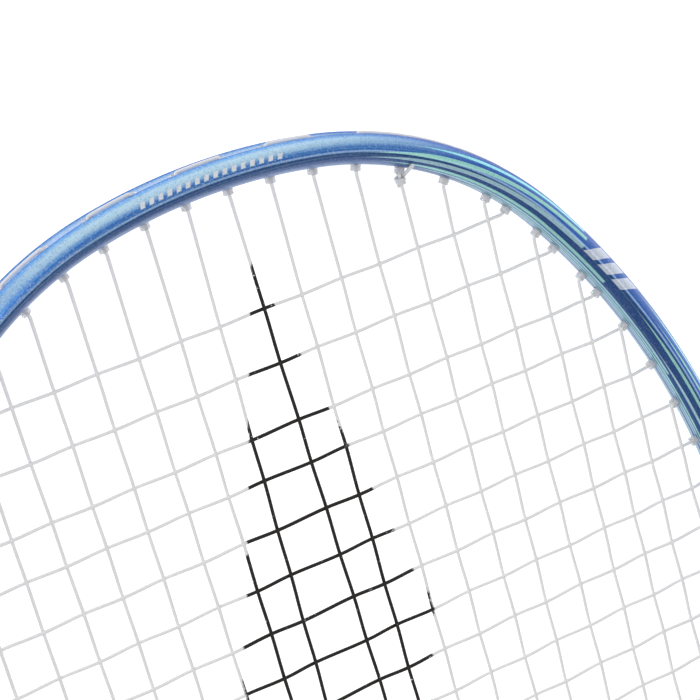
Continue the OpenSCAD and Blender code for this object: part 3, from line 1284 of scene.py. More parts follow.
@dataclass
class Throat:
    """The fairing that carries the shaft's round section out into the hoop.

    Attributes:
        line: The hoop's centre line.
        length: Length along the shaft.
        half_width, half_height: Half its size where it meets the hoop.
        collar: Radius where it meets the shaft.
        inset: Depth of the hoop's outer side, where the fairing ends.
        bite: How far its middle runs on into the hoop.
        flare: How late it widens.
    """

    line: HoopLine
    length: float = 30.0
    half_width: float = 12.8
    half_height: float = 5.0
    collar: float = 4.45
    inset: float = 3.3
    bite: float = 2.2
    flare: float = 2.6

    def ring(self, t: float, many: int = 64) -> list[Point]:
        """The fairing's outline at a share of its length, from the shaft to the hoop.

        Args:
            t: The share.
            many: How many points the outline has.

        Returns:
            Its points.
        """
        top = self.line.bottom_y - self.inset
        throat = self.line.radii[4]
        wide = self.collar + (self.half_width - self.collar) * t**self.flare
        high = self.collar + (self.half_height - self.collar) * t
        power = 2 / (2.0 + 0.6 * t)
        points = []
        for j in range(many):
            a = 2 * math.pi * j / many
            c, s = math.cos(a), math.sin(a)
            x = wide * math.copysign(abs(c) ** power, c)
            z = high * math.copysign(abs(s) ** power, s)
            sag = throat - math.sqrt(throat**2 - x * x)
            lift = t * (sag + self.bite * (1 - (z / high) ** 2) ** 0.5)
            points.append((x, top - self.length * (1 - t) + lift, z))
        return points

    def build(self) -> bpy.types.Object:
        """Lofts the fairing, with a soft lip at the shaft, and paints it.

        Returns:
            The fairing.
        """
        rows = 40
        rings = [self.ring(k / rows) for k in range(rows + 1)]
        foot = rings[0][0][1]
        lip = []
        for share, drop in ((0.82, 0.9), (0.94, 0.7)):
            lip.append([(x * share, foot - drop, z * share) for x, _, z in rings[0]])
        piece = shell("throat_fairing_painted", lip + rings)
        return dress(piece, SHAFT_PAINT, ["throat_fairing"])


# ---------------------------------------------------------------- string bed


@dataclass
class StringBed:
    """Where the strings run: eleven mains on each side and twenty crosses, woven over and under.

    Attributes:
        line: The hoop's centre line.
        mains: Mains on each side of the axis.
        crosses: Crosses in all.
        main_pitch, main_taper: Spacing of the mains, and how much closer the outer ones stand.
        first_cross: Distance from the hoop's centre line at the top to the first cross.
        cross_pitch, cross_spread: Spacing of the crosses at the middle, and the extra at the ends.
        diameter: The string's diameter.
        turn_r, run_r, tie_r: Depths at which strings turn into grommets, lie in the groove and lie
            over others.
        spread: Least distance between a main's grommet and a cross's.
        layer: How far from the middle plane mains and crosses enter their grommets.
        wave: How far a main and a cross swing from the middle plane where they cross.
        top_pairs, bottom_pairs: Mains and crosses that share a grommet.
        tail: Length of a knot's cut tail.
        tie_main: The main, from the axis, at whose lower grommet each half's string is tied off.
        start_main, finish_main: The mains where the cross string is tied.
        shy: How near to the hoop two strings no longer weave.
        throat_clear: Least distance from the axis at which a main reaches the throat.
        bend: How far before a turn a string starts to bend.
    """

    line: HoopLine
    mains: int = 11
    crosses: int = 20
    main_pitch: float = 8.8
    main_taper: float = 0.0002
    first_cross: float = 27.7
    cross_pitch: float = 9.85
    cross_spread: float = 2.14
    diameter: float = 0.75
    turn_r: float = -5.05
    run_r: float = 2.97
    tie_r: float = 3.7
    spread: float = 5.6
    layer: float = 0.37
    wave: tuple[float, float] = (0.25, 0.34)
    top_pairs: tuple[tuple[int, int], ...] = ((10, 4), (11, 6))
    bottom_pairs: tuple[tuple[int, int], ...] = ((11, 14), (6, 20))
    tail: float = 4.9
    tie_main: int = 9
    start_main: int = 5
    finish_main: int = 4
    shy: float = 0.4
    throat_clear: float = 8.4
    bend: float = 0.7

    def __post_init__(self) -> None:
        """Works out where each string meets the hoop."""
        raw = [self.line.length_at_y(self.cross_y(j), self.turn_r) for j in range(1, self.crosses + 1)]
        top_aim = self._aimed(self.top_pairs, raw, True)
        bottom_aim = self._aimed(self.bottom_pairs, raw, False)
        self.main_top = [self._pushed(s, raw) for s in top_aim]
        self.main_bottom = [self._pushed(s, raw) for s in bottom_aim]
        self.cross_end = [self._pushed(s, top_aim + bottom_aim) for s in raw]
        self.shared = [raw[j - 1] for _, j in self.top_pairs + self.bottom_pairs]

    def main_x(self, i: int) -> float:
        """Distance of a main from the axis."""
        k = i - 0.5
        return self.main_pitch * (k - self.main_taper * k**3)

    def cross_y(self, j: int) -> float:
        """Y of a cross.

        Args:
            j: Number of the cross, from 1 at the top.

        Returns:
            Its Y.
        """
        y = self.line.top_y - self.first_cross
        middle = (self.crosses - 2) / 2
        for n in range(1, j):
            y -= self.cross_pitch + self.cross_spread * ((n - 0.5 - middle) / middle) ** 2
        return y

    def _aimed(self, pairs: Sequence[tuple[int, int]], raw: Sequence[float], upper: bool) -> list[float]:
        """Where each main would meet the hoop if it ran straight, or its partner's place.

        Args:
            pairs: Mains and crosses that share a grommet.
            raw: Where the crosses meet the hoop.
            upper: Whether the upper ends are wanted.

        Returns:
            A length along the hoop for each main.
        """
        mates = dict(pairs)
        least = 0.0 if upper else self.throat_clear
        places = []
        for i in range(1, self.mains + 1):
            if i in mates:
                places.append(raw[mates[i] - 1])
            else:
                x = max(self.main_x(i), least)
                places.append(self.line.length_at_x(x, self.turn_r, upper))
        return places

    def _pushed(self, s: float, others: Sequence[float]) -> float:
        """A place moved clear of the nearest other one.

        Args:
            s: The place, as a length along the hoop.
            others: The other places.

        Returns:
            The new place.
        """
        near = [o for o in others if abs(o - s) < self.spread]
        if not near or near[0] == s:
            return s
        return s + math.copysign((self.spread - abs(s - near[0])) / 2, s - near[0])

    def alone(self, places: Sequence[float]) -> list[float]:
        """Those places that no main and cross share."""
        return [s for s in places if s not in self.shared]

    def at_turn(self, s: float, side: int, z: float) -> Vector:
        """Where a string turns into its grommet."""
        return self.line.place(s, self.turn_r, side, z)

    def groove(
        self,
        start: float,
        end: float,
        side: int,
        z: tuple[float, float],
        r: float,
    ) -> list[Vector]:
        """A string's run in the groove, with z sliding from one height to another.

        Args:
            start, end: Lengths along the hoop.
            side: 1 on the right and -1 on the left.
            z: Heights at the start and at the end.
            r: Depth of the run.

        Returns:
            The string's centre line.
        """
        steps = max(4, int(abs(end - start) / 1.6))
        shares = [n / steps for n in range(steps + 1)]
        return [
            self.line.place(start + (end - start) * t, r, side, z[0] + (z[1] - z[0]) * t)
            for t in shares
        ]

    def woven(self, start: Vector, end: Vector, crossings: Sequence[tuple[float, float]]) -> list[Vector]:
        """A straight run that swings over and under.

        Args:
            start, end: The run's ends.
            crossings: Shares of the run, rising, and the height at each.

        Returns:
            Points from start to end.
        """
        keys = [(0.0, start.z), *crossings, (1.0, end.z)]
        path = []
        for (t0, z0), (t1, z1) in zip(keys, keys[1:]):
            steps = max(3, min(7, int((end - start).length * (t1 - t0) / 1.3)))
            for n in range(steps):
                blend = (1 - math.cos(math.pi * n / steps)) / 2
                spot = start.lerp(end, t0 + (t1 - t0) * n / steps)
                path.append(Vector((spot.x, spot.y, z0 + (z1 - z0) * blend)))
        return path + [end]

    def _over(self, column: int, j: int) -> int:
        """1 where the main of that column passes over cross j, and -1 where it passes under."""
        return 1 if (column + j) % 2 == 0 else -1

    def main_run(self, i: int, side: int, downwards: bool) -> list[Vector]:
        """One main, woven.

        Args:
            i: Number of the main, from 1 next to the axis.
            side: 1 on the right and -1 on the left.
            downwards: Whether it runs from the top to the throat.

        Returns:
            The string's centre line.
        """
        column = self.mains + (i - 1 if side > 0 else -i)
        top = self.at_turn(self.main_top[i - 1], side, self.layer)
        bottom = self.at_turn(self.main_bottom[i - 1], side, self.layer)
        crossings = []
        for j in range(1, self.crosses + 1):
            spot = self.at_turn(self.cross_end[j - 1], side, 0.0)
            t = (top.y - spot.y) / (top.y - bottom.y)
            x = top.x + (bottom.x - top.x) * t
            if 0 < t < 1 and abs(x) < abs(spot.x) - self.shy:
                crossings.append((t, self.wave[0] * self._over(column, j)))
        path = self.woven(top, bottom, crossings)
        return path if downwards else path[::-1]

    def cross_run(self, j: int, side: int) -> list[Vector]:
        """One cross, woven, starting from one side.

        Args:
            j: Number of the cross, from 1 at the top.
            side: The side that it starts from: 1 for the right and -1 for the left.

        Returns:
            The string's centre line.
        """
        right = self.at_turn(self.cross_end[j - 1], 1, -self.layer)
        left = self.at_turn(self.cross_end[j - 1], -1, -self.layer)
        crossings = []
        for column in range(2 * self.mains):
            way = 1 if column >= self.mains else -1
            i = column - self.mains + 1 if way > 0 else self.mains - column
            top = self.at_turn(self.main_top[i - 1], way, 0.0)
            bottom = self.at_turn(self.main_bottom[i - 1], way, 0.0)
            share = (top.y - right.y) / (top.y - bottom.y)
            x = top.x + (bottom.x - top.x) * share
            if 0 < share < 1 and abs(x) < right.x - self.shy:
                along = (x - left.x) / (right.x - left.x)
                crossings.append((along, -self.wave[1] * self._over(column, j)))
        path = self.woven(left, right, sorted(crossings))
        return path if side < 0 else path[::-1]

    def half_of_mains(self, side: int) -> list[Vector]:
        """One half's mains in one way, from the top's middle out to the knot.

        Args:
            side: 1 on the right and -1 on the left.

        Returns:
            The string's centre line.
        """
        path = []
        level = (self.layer, self.layer)
        tie = self.main_bottom[self.tie_main - 1]
        for i in range(1, self.mains + 1):
            down = i % 2 == 1
            path += self.main_run(i, side, down)
            places = self.main_bottom if down else self.main_top
            if i < self.mains:
                path += self.groove(places[i - 1], places[i], side, level, self.run_r)
            else:
                path += self.groove(places[i - 1], tie, side, (self.layer, -self.layer), self.tie_r)
        return path + [self.at_turn(tie, side, -self.layer)]

    def main_path(self) -> list[Vector]:
        """The whole main string.

        Returns:
            The string's centre line.
        """
        level = (self.layer, self.layer)
        middle = [
            *self.groove(self.main_top[0], 0.0, -1, level, self.run_r)[:-1],
            *self.groove(0.0, self.main_top[0], 1, level, self.run_r),
        ]
        return softened(self.half_of_mains(-1)[::-1] + middle + self.half_of_mains(1), self.bend)

    def cross_path(self) -> list[Vector]:
        """The whole cross string.

        Returns:
            The string's centre line.
        """
        level = (-self.layer, -self.layer)
        start = self.main_top[self.start_main - 1]
        path = [self.at_turn(start, 1, -self.layer)]
        path += self.groove(start, self.cross_end[0], 1, level, self.run_r)
        finish = self.main_bottom[self.finish_main - 1]
        for j in range(1, self.crosses + 1):
            side = 1 if j % 2 == 1 else -1
            path += self.cross_run(j, side)
            following = self.cross_end[j] if j < self.crosses else finish
            path += self.groove(self.cross_end[j - 1], following, -side, level, self.run_r)
        return softened(path + [self.at_turn(finish, 1, -self.layer)], self.bend)

    def knot_path(self, s: float, other: float, side: int) -> list[Vector]:
        """A knot: two turns round a main just inside its grommet, and the cut tail.

        Args:
            s: The main's place on the hoop at the knot.
            other: Its place at its other end.
            side: 1 on the right and -1 on the left.

        Returns:
            The string's centre line.
        """
        start = self.at_turn(s, side, self.layer)
        way = (self.at_turn(other, side, self.layer) - start).normalized()
        up = Vector((0.0, 0.0, 1.0))
        beside = up.cross(way) * side
        path = []
        turns = 2.5
        per_turn = 14
        last = int(turns * per_turn)
        for n in range(last + 1):
            share = n / last
            a = 2 * math.pi * (n - last) / per_turn
            lift = 1.9 - 1.7 * share
            reach = self.diameter * (0.75 + 0.5 * share)
            path.append(start + way * lift + (beside * math.cos(a) + up * math.sin(a)) * reach)
        lean = (up * 0.86 - way * 0.48 + beside * 0.12).normalized()
        return path + [path[-1] + lean * reach for reach in (0.9, 2.8, self.tail)]


class Strings:
    """Makes round strings along paths, and the grommets, with Geometry Nodes."""

    def __init__(self, bed: StringBed) -> None:
        """Keeps the bed and builds the two trees.

        Args:
            bed: The strings' layout.
        """
        self.bed = bed
        self.tube_tree = self._tube_tree()
        self.grommet_tree = self._grommet_tree()

    @staticmethod
    def _new_tree(name: str, sizes: dict[str, tuple[str, object]]) -> Graph:
        """An empty Geometry Nodes tree with a geometry in and out and named inputs.

        Args:
            name: The tree's name.
            sizes: Each input's socket type and value, by name.

        Returns:
            The tree as a graph.
        """
        tree = bpy.data.node_groups.new(name, "GeometryNodeTree")
        tree.interface.new_socket("Geometry", in_out="INPUT", socket_type="NodeSocketGeometry")
        for label, (kind, value) in sizes.items():
            socket = tree.interface.new_socket(label, in_out="INPUT", socket_type=kind)
            if value is not None:
                socket.default_value = value
        tree.interface.new_socket("Geometry", in_out="OUTPUT", socket_type="NodeSocketGeometry")
        return Graph(tree)

    @staticmethod
    def _given(graph: Graph) -> dict[str, Wire]:
        """The tree's inputs by name."""
        return {s.name: Wire(graph, s) for s in graph.node("NodeGroupInput").outputs if s.name}

    def _tube_tree(self) -> bpy.types.NodeTree:
        """A round string along a line of edges.

        Returns:
            The tree.
        """
        sizes = {
            "Diameter": ("NodeSocketFloat", 0.7 * MM),
            "Sides": ("NodeSocketInt", 10),
            "Finish": ("NodeSocketMaterial", None),
        }
        graph = self._new_tree("round_string", sizes)
        given = self._given(graph)
        line = graph.out("GeometryNodeMeshToCurve", inputs={0: given["Geometry"]})
        radius = given["Diameter"] * 0.5
        circle = {"Resolution": given["Sides"], "Radius": radius}
        ring = graph.out("GeometryNodeCurvePrimitiveCircle", inputs=circle)
        sweep = {"Curve": line, "Profile Curve": ring, "Fill Caps": True}
        tube = graph.out("GeometryNodeCurveToMesh", inputs=sweep)
        self._ended(graph, tube, given["Finish"])
        return graph.tree

    def _grommet_tree(self) -> bpy.types.NodeTree:
        """A flanged tube at each point, facing the way that the point's attribute says.

        Returns:
            The tree.
        """
        sizes = {
            "Outside": ("NodeSocketFloat", 2.1 * MM),
            "Wall": ("NodeSocketFloat", 0.3 * MM),
            "Inner Reach": ("NodeSocketFloat", 4.6 * MM),
            "Outer Reach": ("NodeSocketFloat", 2.5 * MM),
            "Flange": ("NodeSocketFloat", 2.6 * MM),
            "Finish": ("NodeSocketMaterial", None),
        }
        graph = self._new_tree("grommet_row", sizes)
        given = self._given(graph)
        length = given["Inner Reach"] + given["Outer Reach"]
        middle = (given["Outer Reach"] - given["Inner Reach"]) * 0.5
        radius = given["Outside"] * 0.5 - given["Wall"] * 0.5
        barrel = self._collar(graph, radius, given["Wall"], length, middle)
        inner = given["Outside"] * 0.5 - given["Wall"]
        width = given["Flange"] * 0.5 - inner
        flange = self._collar(graph, inner + width * 0.5, width, given["Wall"], given["Outer Reach"])
        one = graph.out("GeometryNodeJoinGeometry", inputs={0: [barrel, flange]})
        settings = {"data_type": "FLOAT_VECTOR"}
        facing = graph.out("GeometryNodeInputNamedAttribute", settings, {"Name": FACING}, "Attribute")
        turn = graph.out("FunctionNodeAlignRotationToVector", {"axis": "Z"}, {"Vector": facing})
        row = {"Points": given["Geometry"], "Instance": one, "Rotation": turn}
        placed = graph.out("GeometryNodeInstanceOnPoints", inputs=row)
        self._ended(graph, placed, given["Finish"])
        return graph.tree

    @staticmethod
    def _collar(graph: Graph, radius: Wire, width: Wire, height: Wire, lift: Wire) -> Wire:
        """A ring about Z of a rounded rectangular section.

        Args:
            graph: The tree's graph.
            radius: Radius of the section's middle.
            width: The section's width across the axis.
            height: Its height along the axis.
            lift: How far along Z it stands.

        Returns:
            The ring.
        """
        ring = graph.out("GeometryNodeCurvePrimitiveCircle", inputs={"Resolution": 18, "Radius": radius})
        box = {"Width": width, "Height": height}
        block = graph.out("GeometryNodeCurvePrimitiveQuadrilateral", inputs=box)
        fillet = {"Curve": block, "Count": 2, "Radius": 0.1 * MM, "Limit Radius": True}
        block = graph.out("GeometryNodeFilletCurve", {"mode": "POLY"}, fillet)
        collar = graph.out("GeometryNodeCurveToMesh", inputs={"Curve": ring, "Profile Curve": block})
        offset = graph.joined(0.0, 0.0, lift)
        return graph.out("GeometryNodeTransform", inputs={"Geometry": collar, "Translation": offset})

    @staticmethod
    def _ended(graph: Graph, made: Wire, finish: Wire) -> None:
        """Ends a tree: real geometry, smooth, with its finish.

        Args:
            graph: The tree's graph.
            made: What the tree has made.
            finish: Its finish.
        """
        real = graph.out("GeometryNodeRealizeInstances", inputs={0: made})
        smooth = graph.out("GeometryNodeSetShadeSmooth", inputs={"Geometry": real})
        dressed = graph.out("GeometryNodeSetMaterial", inputs={"Geometry": smooth, "Material": finish})
        graph.node("NodeGroupOutput", inputs={0: dressed})

    @staticmethod
    def grown(
        name: str,
        seed: bpy.types.Mesh,
        tree: bpy.types.NodeTree,
        values: dict[str, object],
    ) -> bpy.types.Object:
        """Runs a tree over a mesh and keeps the result as a plain piece.

        Args:
            name: The piece's name.
            seed: The mesh that the tree starts from.
            tree: The tree.
            values: Its inputs by name.

        Returns:
            The new object.
        """
        source = bpy.data.objects.new(f"{name}_seed", seed)
        bpy.context.scene.collection.objects.link(source)
        modifier = source.modifiers.new("grow", "NODES")
        modifier.node_group = tree
        for socket in tree.interface.items_tree:
            if socket.item_type == "SOCKET" and socket.in_out == "INPUT" and socket.name in values:
                modifier[socket.identifier] = values[socket.name]
        evaluated = source.evaluated_get(bpy.context.evaluated_depsgraph_get())
        mesh = bpy.data.meshes.new_from_object(evaluated)
        source.modifiers.remove(modifier)
        bpy.data.objects.remove(source)
        piece = bpy.data.objects.new(name, mesh)
        mesh.name = name
        bpy.context.scene.collection.objects.link(piece)
        return piece

    def string(self, name: str, paths: Sequence[Sequence[Vector]], finish: Finish, node: str) -> None:
        """Makes the strings along some paths as one piece.

        Args:
            name: The piece's name.
            paths: The centre lines.
            finish: The piece's finish.
            node: The CAD node that it stands for.
        """
        seed = bpy.data.meshes.new(f"{name}_line")
        points = []
        edges = []
        for path in paths:
            start = len(points)
            points += [p * MM for p in path]
            edges += [(start + k, start + k + 1) for k in range(len(path) - 1)]
        seed.from_pydata(points, edges, [])
        values = {"Diameter": self.bed.diameter * MM, "Sides": 10, "Finish": finish.make()}
        dress(self.grown(name, seed, self.tube_tree, values), finish, [node])

    def grommets(self, name: str, places: Sequence[float], sides: Sequence[int], node: str) -> None:
        """Makes a row of grommets as one piece.

        Args:
            name: The piece's name.
            places: Lengths along the hoop from its top.
            sides: 1 for the right and -1 for the left.
            node: The CAD node that it stands for.
        """
        line = self.bed.line
        stands = [(s, side) for side in sides for s in places]
        seed = bpy.data.meshes.new(f"{name}_points")
        seed.from_pydata([line.place(s, 0.0, side) * MM for s, side in stands], [], [])
        facing = seed.attributes.new(FACING, "FLOAT_VECTOR", "POINT")
        facing.data.foreach_set("vector", [c for s, side in stands for c in line.outward(s, side)])
        values = {"Finish": CLEAR_NYLON.make()}
        dress(self.grown(name, seed, self.grommet_tree, values), CLEAR_NYLON, [node])

    def build(self) -> None:
        """Makes both strings, their knots and the five groups of grommets."""
        bed = self.bed
        self.string("woven_main_string", [bed.main_path()], STRING_NYLON, "main_string")
        self.string("woven_cross_string", [bed.cross_path()], STRING_NYLON, "cross_string")
        tie = bed.tie_main - 1
        mains = [bed.knot_path(bed.main_bottom[tie], bed.main_top[tie], side) for side in (-1, 1)]
        self.string("tied_main_knots", mains, KNOT_NYLON, "main_string_knots")
        first = bed.start_main - 1
        last = bed.finish_main - 1
        crosses = [
            bed.knot_path(bed.main_top[first], bed.main_bottom[first], 1),
            bed.knot_path(bed.main_bottom[last], bed.main_top[last], 1),
        ]
        self.string("tied_cross_knots", crosses, KNOT_NYLON, "cross_string_knots")
        groups = {
            "top": (bed.alone(bed.main_top), (-1, 1)),
            "bottom": (bed.alone(bed.main_bottom), (-1, 1)),
            "left": (bed.alone(bed.cross_end), (-1,)),
            "right": (bed.alone(bed.cross_end), (1,)),
            "shared": (bed.shared, (-1, 1)),
        }
        for name, (places, sides) in groups.items():
            self.grommets(f"{name}_grommet_row", places, sides, f"{name}_grommets")


# ------------------------------------------------------------ shaft and handle


@dataclass
class Shaft:
    """The shaft's tube and the cone cap over its foot.

    Attributes:
        tube: The CAD shaft's box, lowest and highest corner, in millimetres.
        cone: The CAD cone cap's box.
    """

    tube: tuple[Vector, Vector]
    cone: tuple[Vector, Vector]

    def build(self) -> None:
        """Makes the tube and the cone."""
        low, high = self.tube
        radius = high.x
        edge = 0.3
        steps = 60
        straight = high.y - low.y - 2 * edge
        profile = [(low.y, radius - edge)]
        profile += [(low.y + edge + straight * k / steps, radius) for k in range(steps + 1)]
        profile.append((high.y, radius - edge))
        dress(turned("shaft_tube", profile), SHAFT_PAINT, ["shaft"])
        self._cone(radius)

    def _cone(self, shaft_radius: float) -> None:
        """The cone cap: a waisted cone with a rounded foot, two fine grooves and a soft lip.

        Args:
            shaft_radius: Radius of the shaft that it holds.
        """
        low, high = self.cone
        foot = high.x
        length = high.y - low.y
        lip = shaft_radius + 0.95
        deep = 0.35  # a groove's depth, and half its width
        profile = [(low.y, foot - 0.5), (low.y + 0.15, foot - 0.15), (low.y + 0.5, foot)]
        steps = 72
        for k in range(1, steps):
            t = k / steps
            r = lip + (foot - lip) * (1 - t) ** 1.5
            for groove in (0.10, 0.16):
                r -= deep * math.exp(-(((t - groove) * length / deep) ** 2))
            profile.append((low.y + 0.5 + (length - 1.0) * t, r))
        profile += [(high.y - 0.35, lip), (high.y - 0.1, lip - 0.2), (high.y, lip - 0.55)]
        dress(turned("cone_cap_turned", profile, 72), CONE_PLASTIC, ["cone_cap"])


@dataclass
class Handle:
    """The wrapped handle: tape wound in a helix over the eight-sided core, its band and the butt plate.

    Attributes:
        grip: The CAD grip's box, in millimetres.
        band: The CAD finishing tape's box.
        plate: The CAD butt plate's box.
        width, height: The core between opposite flats.
        bevel: Distance across the bevelled sides, as a share of the mean of width and height.
        cover: Thickness of what lies over the core.
        butt_flare, flare_length: Extra half-width at the butt and how far up it reaches.
        lead: How far the tape climbs in a turn.
        lap: How much a turn thickens towards its upper edge.
        lap_edge: Share of a turn over which that edge rounds off.
        sides: Points round the grip and the band.
    """

    grip: tuple[Vector, Vector]
    band: tuple[Vector, Vector]
    plate: tuple[Vector, Vector]
    width: float = 23.0
    height: float = 20.0
    bevel: float = 1.06
    cover: float = 2.4
    butt_flare: float = 2.2
    flare_length: float = 34.0
    lead: float = 22.4
    lap: float = 0.42
    lap_edge: float = 0.03
    sides: int = 112

    def radius(self, angle: float, grow: float) -> float:
        """Distance from the axis to the rounded eight-sided outline.

        Args:
            angle: Direction, in radians.
            grow: How far the outline stands out of the core.

        Returns:
            The distance.
        """
        a, b = self.width / 2 + grow, self.height / 2 + grow
        d = (self.width + self.height) / 4 * self.bevel + grow
        c, s = abs(math.cos(angle)), abs(math.sin(angle))
        flats = (c / a, s / b, (c + s) / math.sqrt(2) / d)
        power = 22
        return sum(flat**power for flat in flats) ** (-1 / power)

    def flare(self, y: float) -> float:
        """Extra half-width at that distance from the butt."""
        return self.butt_flare * (1 - y / self.flare_length) ** 2 if y < self.flare_length else 0.0

    def ring(self, y: float, grows: Sequence[float]) -> list[Point]:
        """One ring of the handle's outline.

        Args:
            y: Its place along Y.
            grows: How far each of its points stands out of the core.

        Returns:
            The ring's points.
        """
        points = []
        for j, grow in enumerate(grows):
            a = 2 * math.pi * j / len(grows)
            r = self.radius(a, grow)
            points.append((r * math.cos(a), y, r * math.sin(a)))
        return points

    def build(self) -> None:
        """Makes the grip, the band and the butt plate."""
        self._grip()
        self._band()
        self._plate()

    def tape_height(self, y: float, share: float) -> float:
        """How far the tape stands out of the core: each turn thickens, then steps down on to the next.

        Args:
            y: Place along Y.
            share: Place round the handle, from 0 to 1.

        Returns:
            The height.
        """
        low, high = self.grip
        phase = (y / self.lead + share) % 1.0
        lap = self.lap * phase
        if phase < self.lap_edge:
            lap += self.lap * math.cos(math.pi / 2 * phase / self.lap_edge)
        end = min(y - low.y, high.y - y)
        rounding = 0.5 * (1 - min(end / 0.8, 1.0)) ** 2
        return self.cover - self.lap + lap - rounding + self.flare(y)

    def _grip(self) -> None:
        """Winds the tape over the core."""
        low, high = self.grip
        rows = 300
        many = self.sides
        length = high.y - low.y
        girth = 83.2  # round the grip
        rings = []
        for k in range(rows + 1):
            y = low.y + length * k / rows
            rings.append(self.ring(y, [self.tape_height(y, j / many) for j in range(many)]))

        def wrap(k: int, j: int) -> tuple[float, float]:
            """Place round the grip, and across the tape, of a ring and point number."""
            return girth * j / many, low.y + length * k / rows + self.lead * j / many

        piece = shell("grip_wrap", rings, wrap=wrap)
        dress(piece, GRIP_TAPE, ["grip_tape"])

    def _band(self) -> None:
        """The finishing band: its free end shows as a small step, and its upper edge folds over the core."""
        low, high = self.band
        thick = 0.12
        outer = self.cover + 0.38
        rows = [
            (low.y, outer - thick),
            (low.y + 0.15, outer),
            (high.y - 0.2, outer),
            (high.y + 0.6, outer - 0.35),
            (high.y + 1.5, 0.9),
            (high.y + 2.3, -0.6),
        ]
        laps = [thick * j / self.sides for j in range(self.sides)]
        rings = [self.ring(y, [grow + lap for lap in laps]) for y, grow in rows]
        dress(shell("finishing_band", rings), BAND_TAPE, ["finishing_tape"])

    def _plate(self) -> None:
        """The butt plate: a shallow dish with a rounded rim."""
        low, high = self.plate
        grow = self.butt_flare - 0.8
        rows = [
            (high.y, 0.0),
            (low.y + 0.35, 0.0),
            (low.y + 0.1, -0.25),
            (low.y, -0.6),
            (low.y, -1.6),
            (low.y + 0.3, -2.1),
        ]
        rings = [self.ring(y, [grow + more] * 96) for y, more in rows]
        dress(shell("butt_plate_moulded", rings), PLATE_PLASTIC, ["butt_plate"])


# -------------------------------------------------------------------- studio


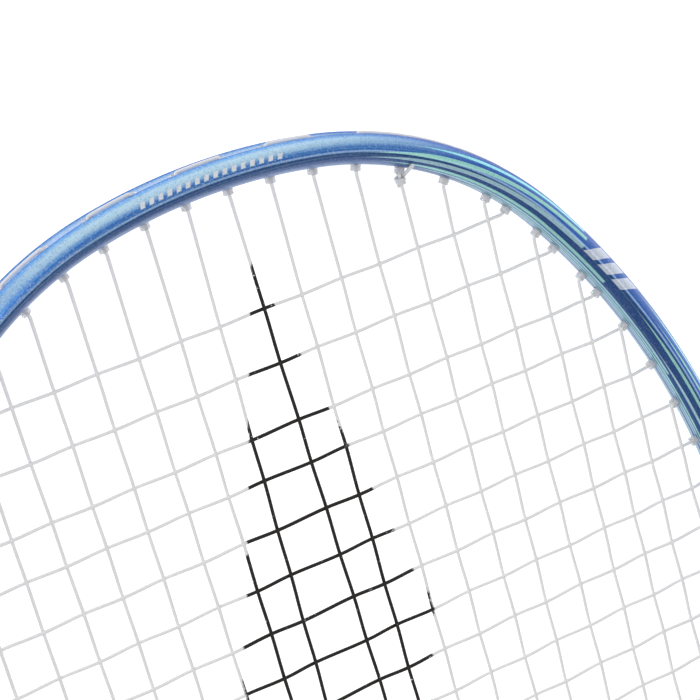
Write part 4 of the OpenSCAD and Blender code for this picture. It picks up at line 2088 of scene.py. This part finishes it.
@dataclass(frozen=True)
class Studio:
    """Pale floor, soft light and the camera.

    Attributes:
        floor_z: Height of the floor, in metres.
        floor_glow, sky_glow: How strongly the floor and the surround shine.
        camera_place: Where the camera stands, in metres.
        camera_turn: Its rotation about X, Y and Z, in degrees.
        lens: Focal length, in millimetres on a 36 mm sensor.
    """

    floor_z: float
    floor_glow: float = 0.62
    sky_glow: float = 0.55
    camera_place: tuple[float, float, float] = (-0.11023, 0.74973, 0.34839)
    camera_turn: tuple[float, float, float] = (-11.730, -24.503, -16.395)
    lens: float = 100.82

    def build(self) -> None:
        """Makes the floor, the lights, the sky and the camera."""
        bpy.context.scene.view_settings.view_transform = "Standard"
        self._floor()
        self._sky()
        self._lamp("key", (-0.9, 1.5, 1.5), (0.0, 0.55, 0.0), 0.9, 9.0)
        self._lamp("fill", (1.3, 0.2, 1.3), (0.0, 0.5, 0.0), 1.2, 4.0)
        self._camera()

    def _floor(self) -> None:
        """A wide pale floor that glows a little, as a light table does."""
        mesh = bpy.data.meshes.new("floor")
        far = 6.0
        spots = [(x * far, y * far, self.floor_z) for x, y in ((-1, -1), (1, -1), (1, 1), (-1, 1))]
        mesh.from_pydata(spots, [], [(0, 1, 2, 3)])
        floor = bpy.data.objects.new("floor", mesh)
        bpy.context.scene.collection.objects.link(floor)
        material = bpy.data.materials.new("light_table")
        material.use_nodes = True
        material.node_tree.nodes.clear()
        graph = Graph(material.node_tree)
        inputs = {
            "Base Color": (0.9, 0.9, 0.9),
            "Roughness": 0.9,
            "Emission Color": (1.0, 1.0, 1.0),
            "Emission Strength": self.floor_glow,
        }
        shader = graph.out("ShaderNodeBsdfPrincipled", inputs=inputs)
        graph.node("ShaderNodeOutputMaterial", inputs={"Surface": shader})
        mesh.materials.append(material)
        floor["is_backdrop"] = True

    def _sky(self) -> None:
        """An even pale surround."""
        world = bpy.data.worlds.new("studio")
        bpy.context.scene.world = world
        world.use_nodes = True
        world.node_tree.nodes.clear()
        graph = Graph(world.node_tree)
        inputs = {"Color": (1.0, 1.0, 1.0), "Strength": self.sky_glow}
        light = graph.out("ShaderNodeBackground", inputs=inputs)
        graph.node("ShaderNodeOutputWorld", inputs={"Surface": light})

    @staticmethod
    def _lamp(name: str, place: tuple, target: tuple, size: float, power: float) -> None:
        """A square soft light that faces a point.

        Args:
            name: The lamp's name.
            place: Where it stands, in metres.
            target: The point that it faces.
            size: Length of its side, in metres.
            power: Its power, in watts.
        """
        data = bpy.data.lights.new(name, "AREA")
        data.size = size
        data.energy = power
        lamp = bpy.data.objects.new(name, data)
        lamp.location = place
        lamp.rotation_euler = (Vector(target) - Vector(place)).to_track_quat("-Z", "Y").to_euler()
        bpy.context.scene.collection.objects.link(lamp)

    def _camera(self) -> None:
        """The camera, above and beyond the head's left shoulder."""
        data = bpy.data.cameras.new("camera")
        data.lens = self.lens
        data.sensor_width = 36.0
        data.clip_start = 0.01
        camera = bpy.data.objects.new("camera", data)
        camera.location = self.camera_place
        camera.rotation_euler = [math.radians(a) for a in self.camera_turn]
        bpy.context.scene.collection.objects.link(camera)
        bpy.context.scene.camera = camera


def box_mm(node: str) -> tuple[Vector, Vector]:
    """A CAD node's lowest and highest corner in millimetres."""
    low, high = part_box(node)
    return low / MM, high / MM


def corners(bounds: tuple[Vector, Vector]) -> list[list[float]]:
    """A box as plain lists of numbers."""
    return [list(corner) for corner in bounds]


FLANGE_REACH = 2.6  # from the hoop's centre line to the top of a grommet's flange
FLOOR_GAP = 0.0005  # metres from the racket's lowest point to the floor
HIDDEN_NODES = {
    "t_joint": JOINT_METAL,
    "shaft_end_plug": PLUG_RUBBER,
    "handle_core": HANDLE_WOOD,
    "grip_underlay": CUSHION_FOAM,
}


def main(frame: dict) -> None:
    """Builds every piece.
    """
    logging.basicConfig(level=logging.INFO, format="%(name)s: %(message)s")
    cad_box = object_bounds()
    line = HoopLine(top_y=box_mm("top_grommets")[1].y - FLANGE_REACH)
    Studio(floor_z=cad_box[0].z - FLOOR_GAP).build()
    Hoop(line).build()
    Throat(line).build()
    Strings(StringBed(line)).build()
    Shaft(box_mm("shaft"), box_mm("cone_cap")).build()
    Handle(box_mm("grip_tape"), box_mm("finishing_tape"), box_mm("butt_plate")).build()
    for node, finish in HIDDEN_NODES.items():
        redress(frame["nodes"][node], finish)
    {"cad": corners(cad_box), "visual": corners(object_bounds())}


if __name__ == "__main__":
    main(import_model())
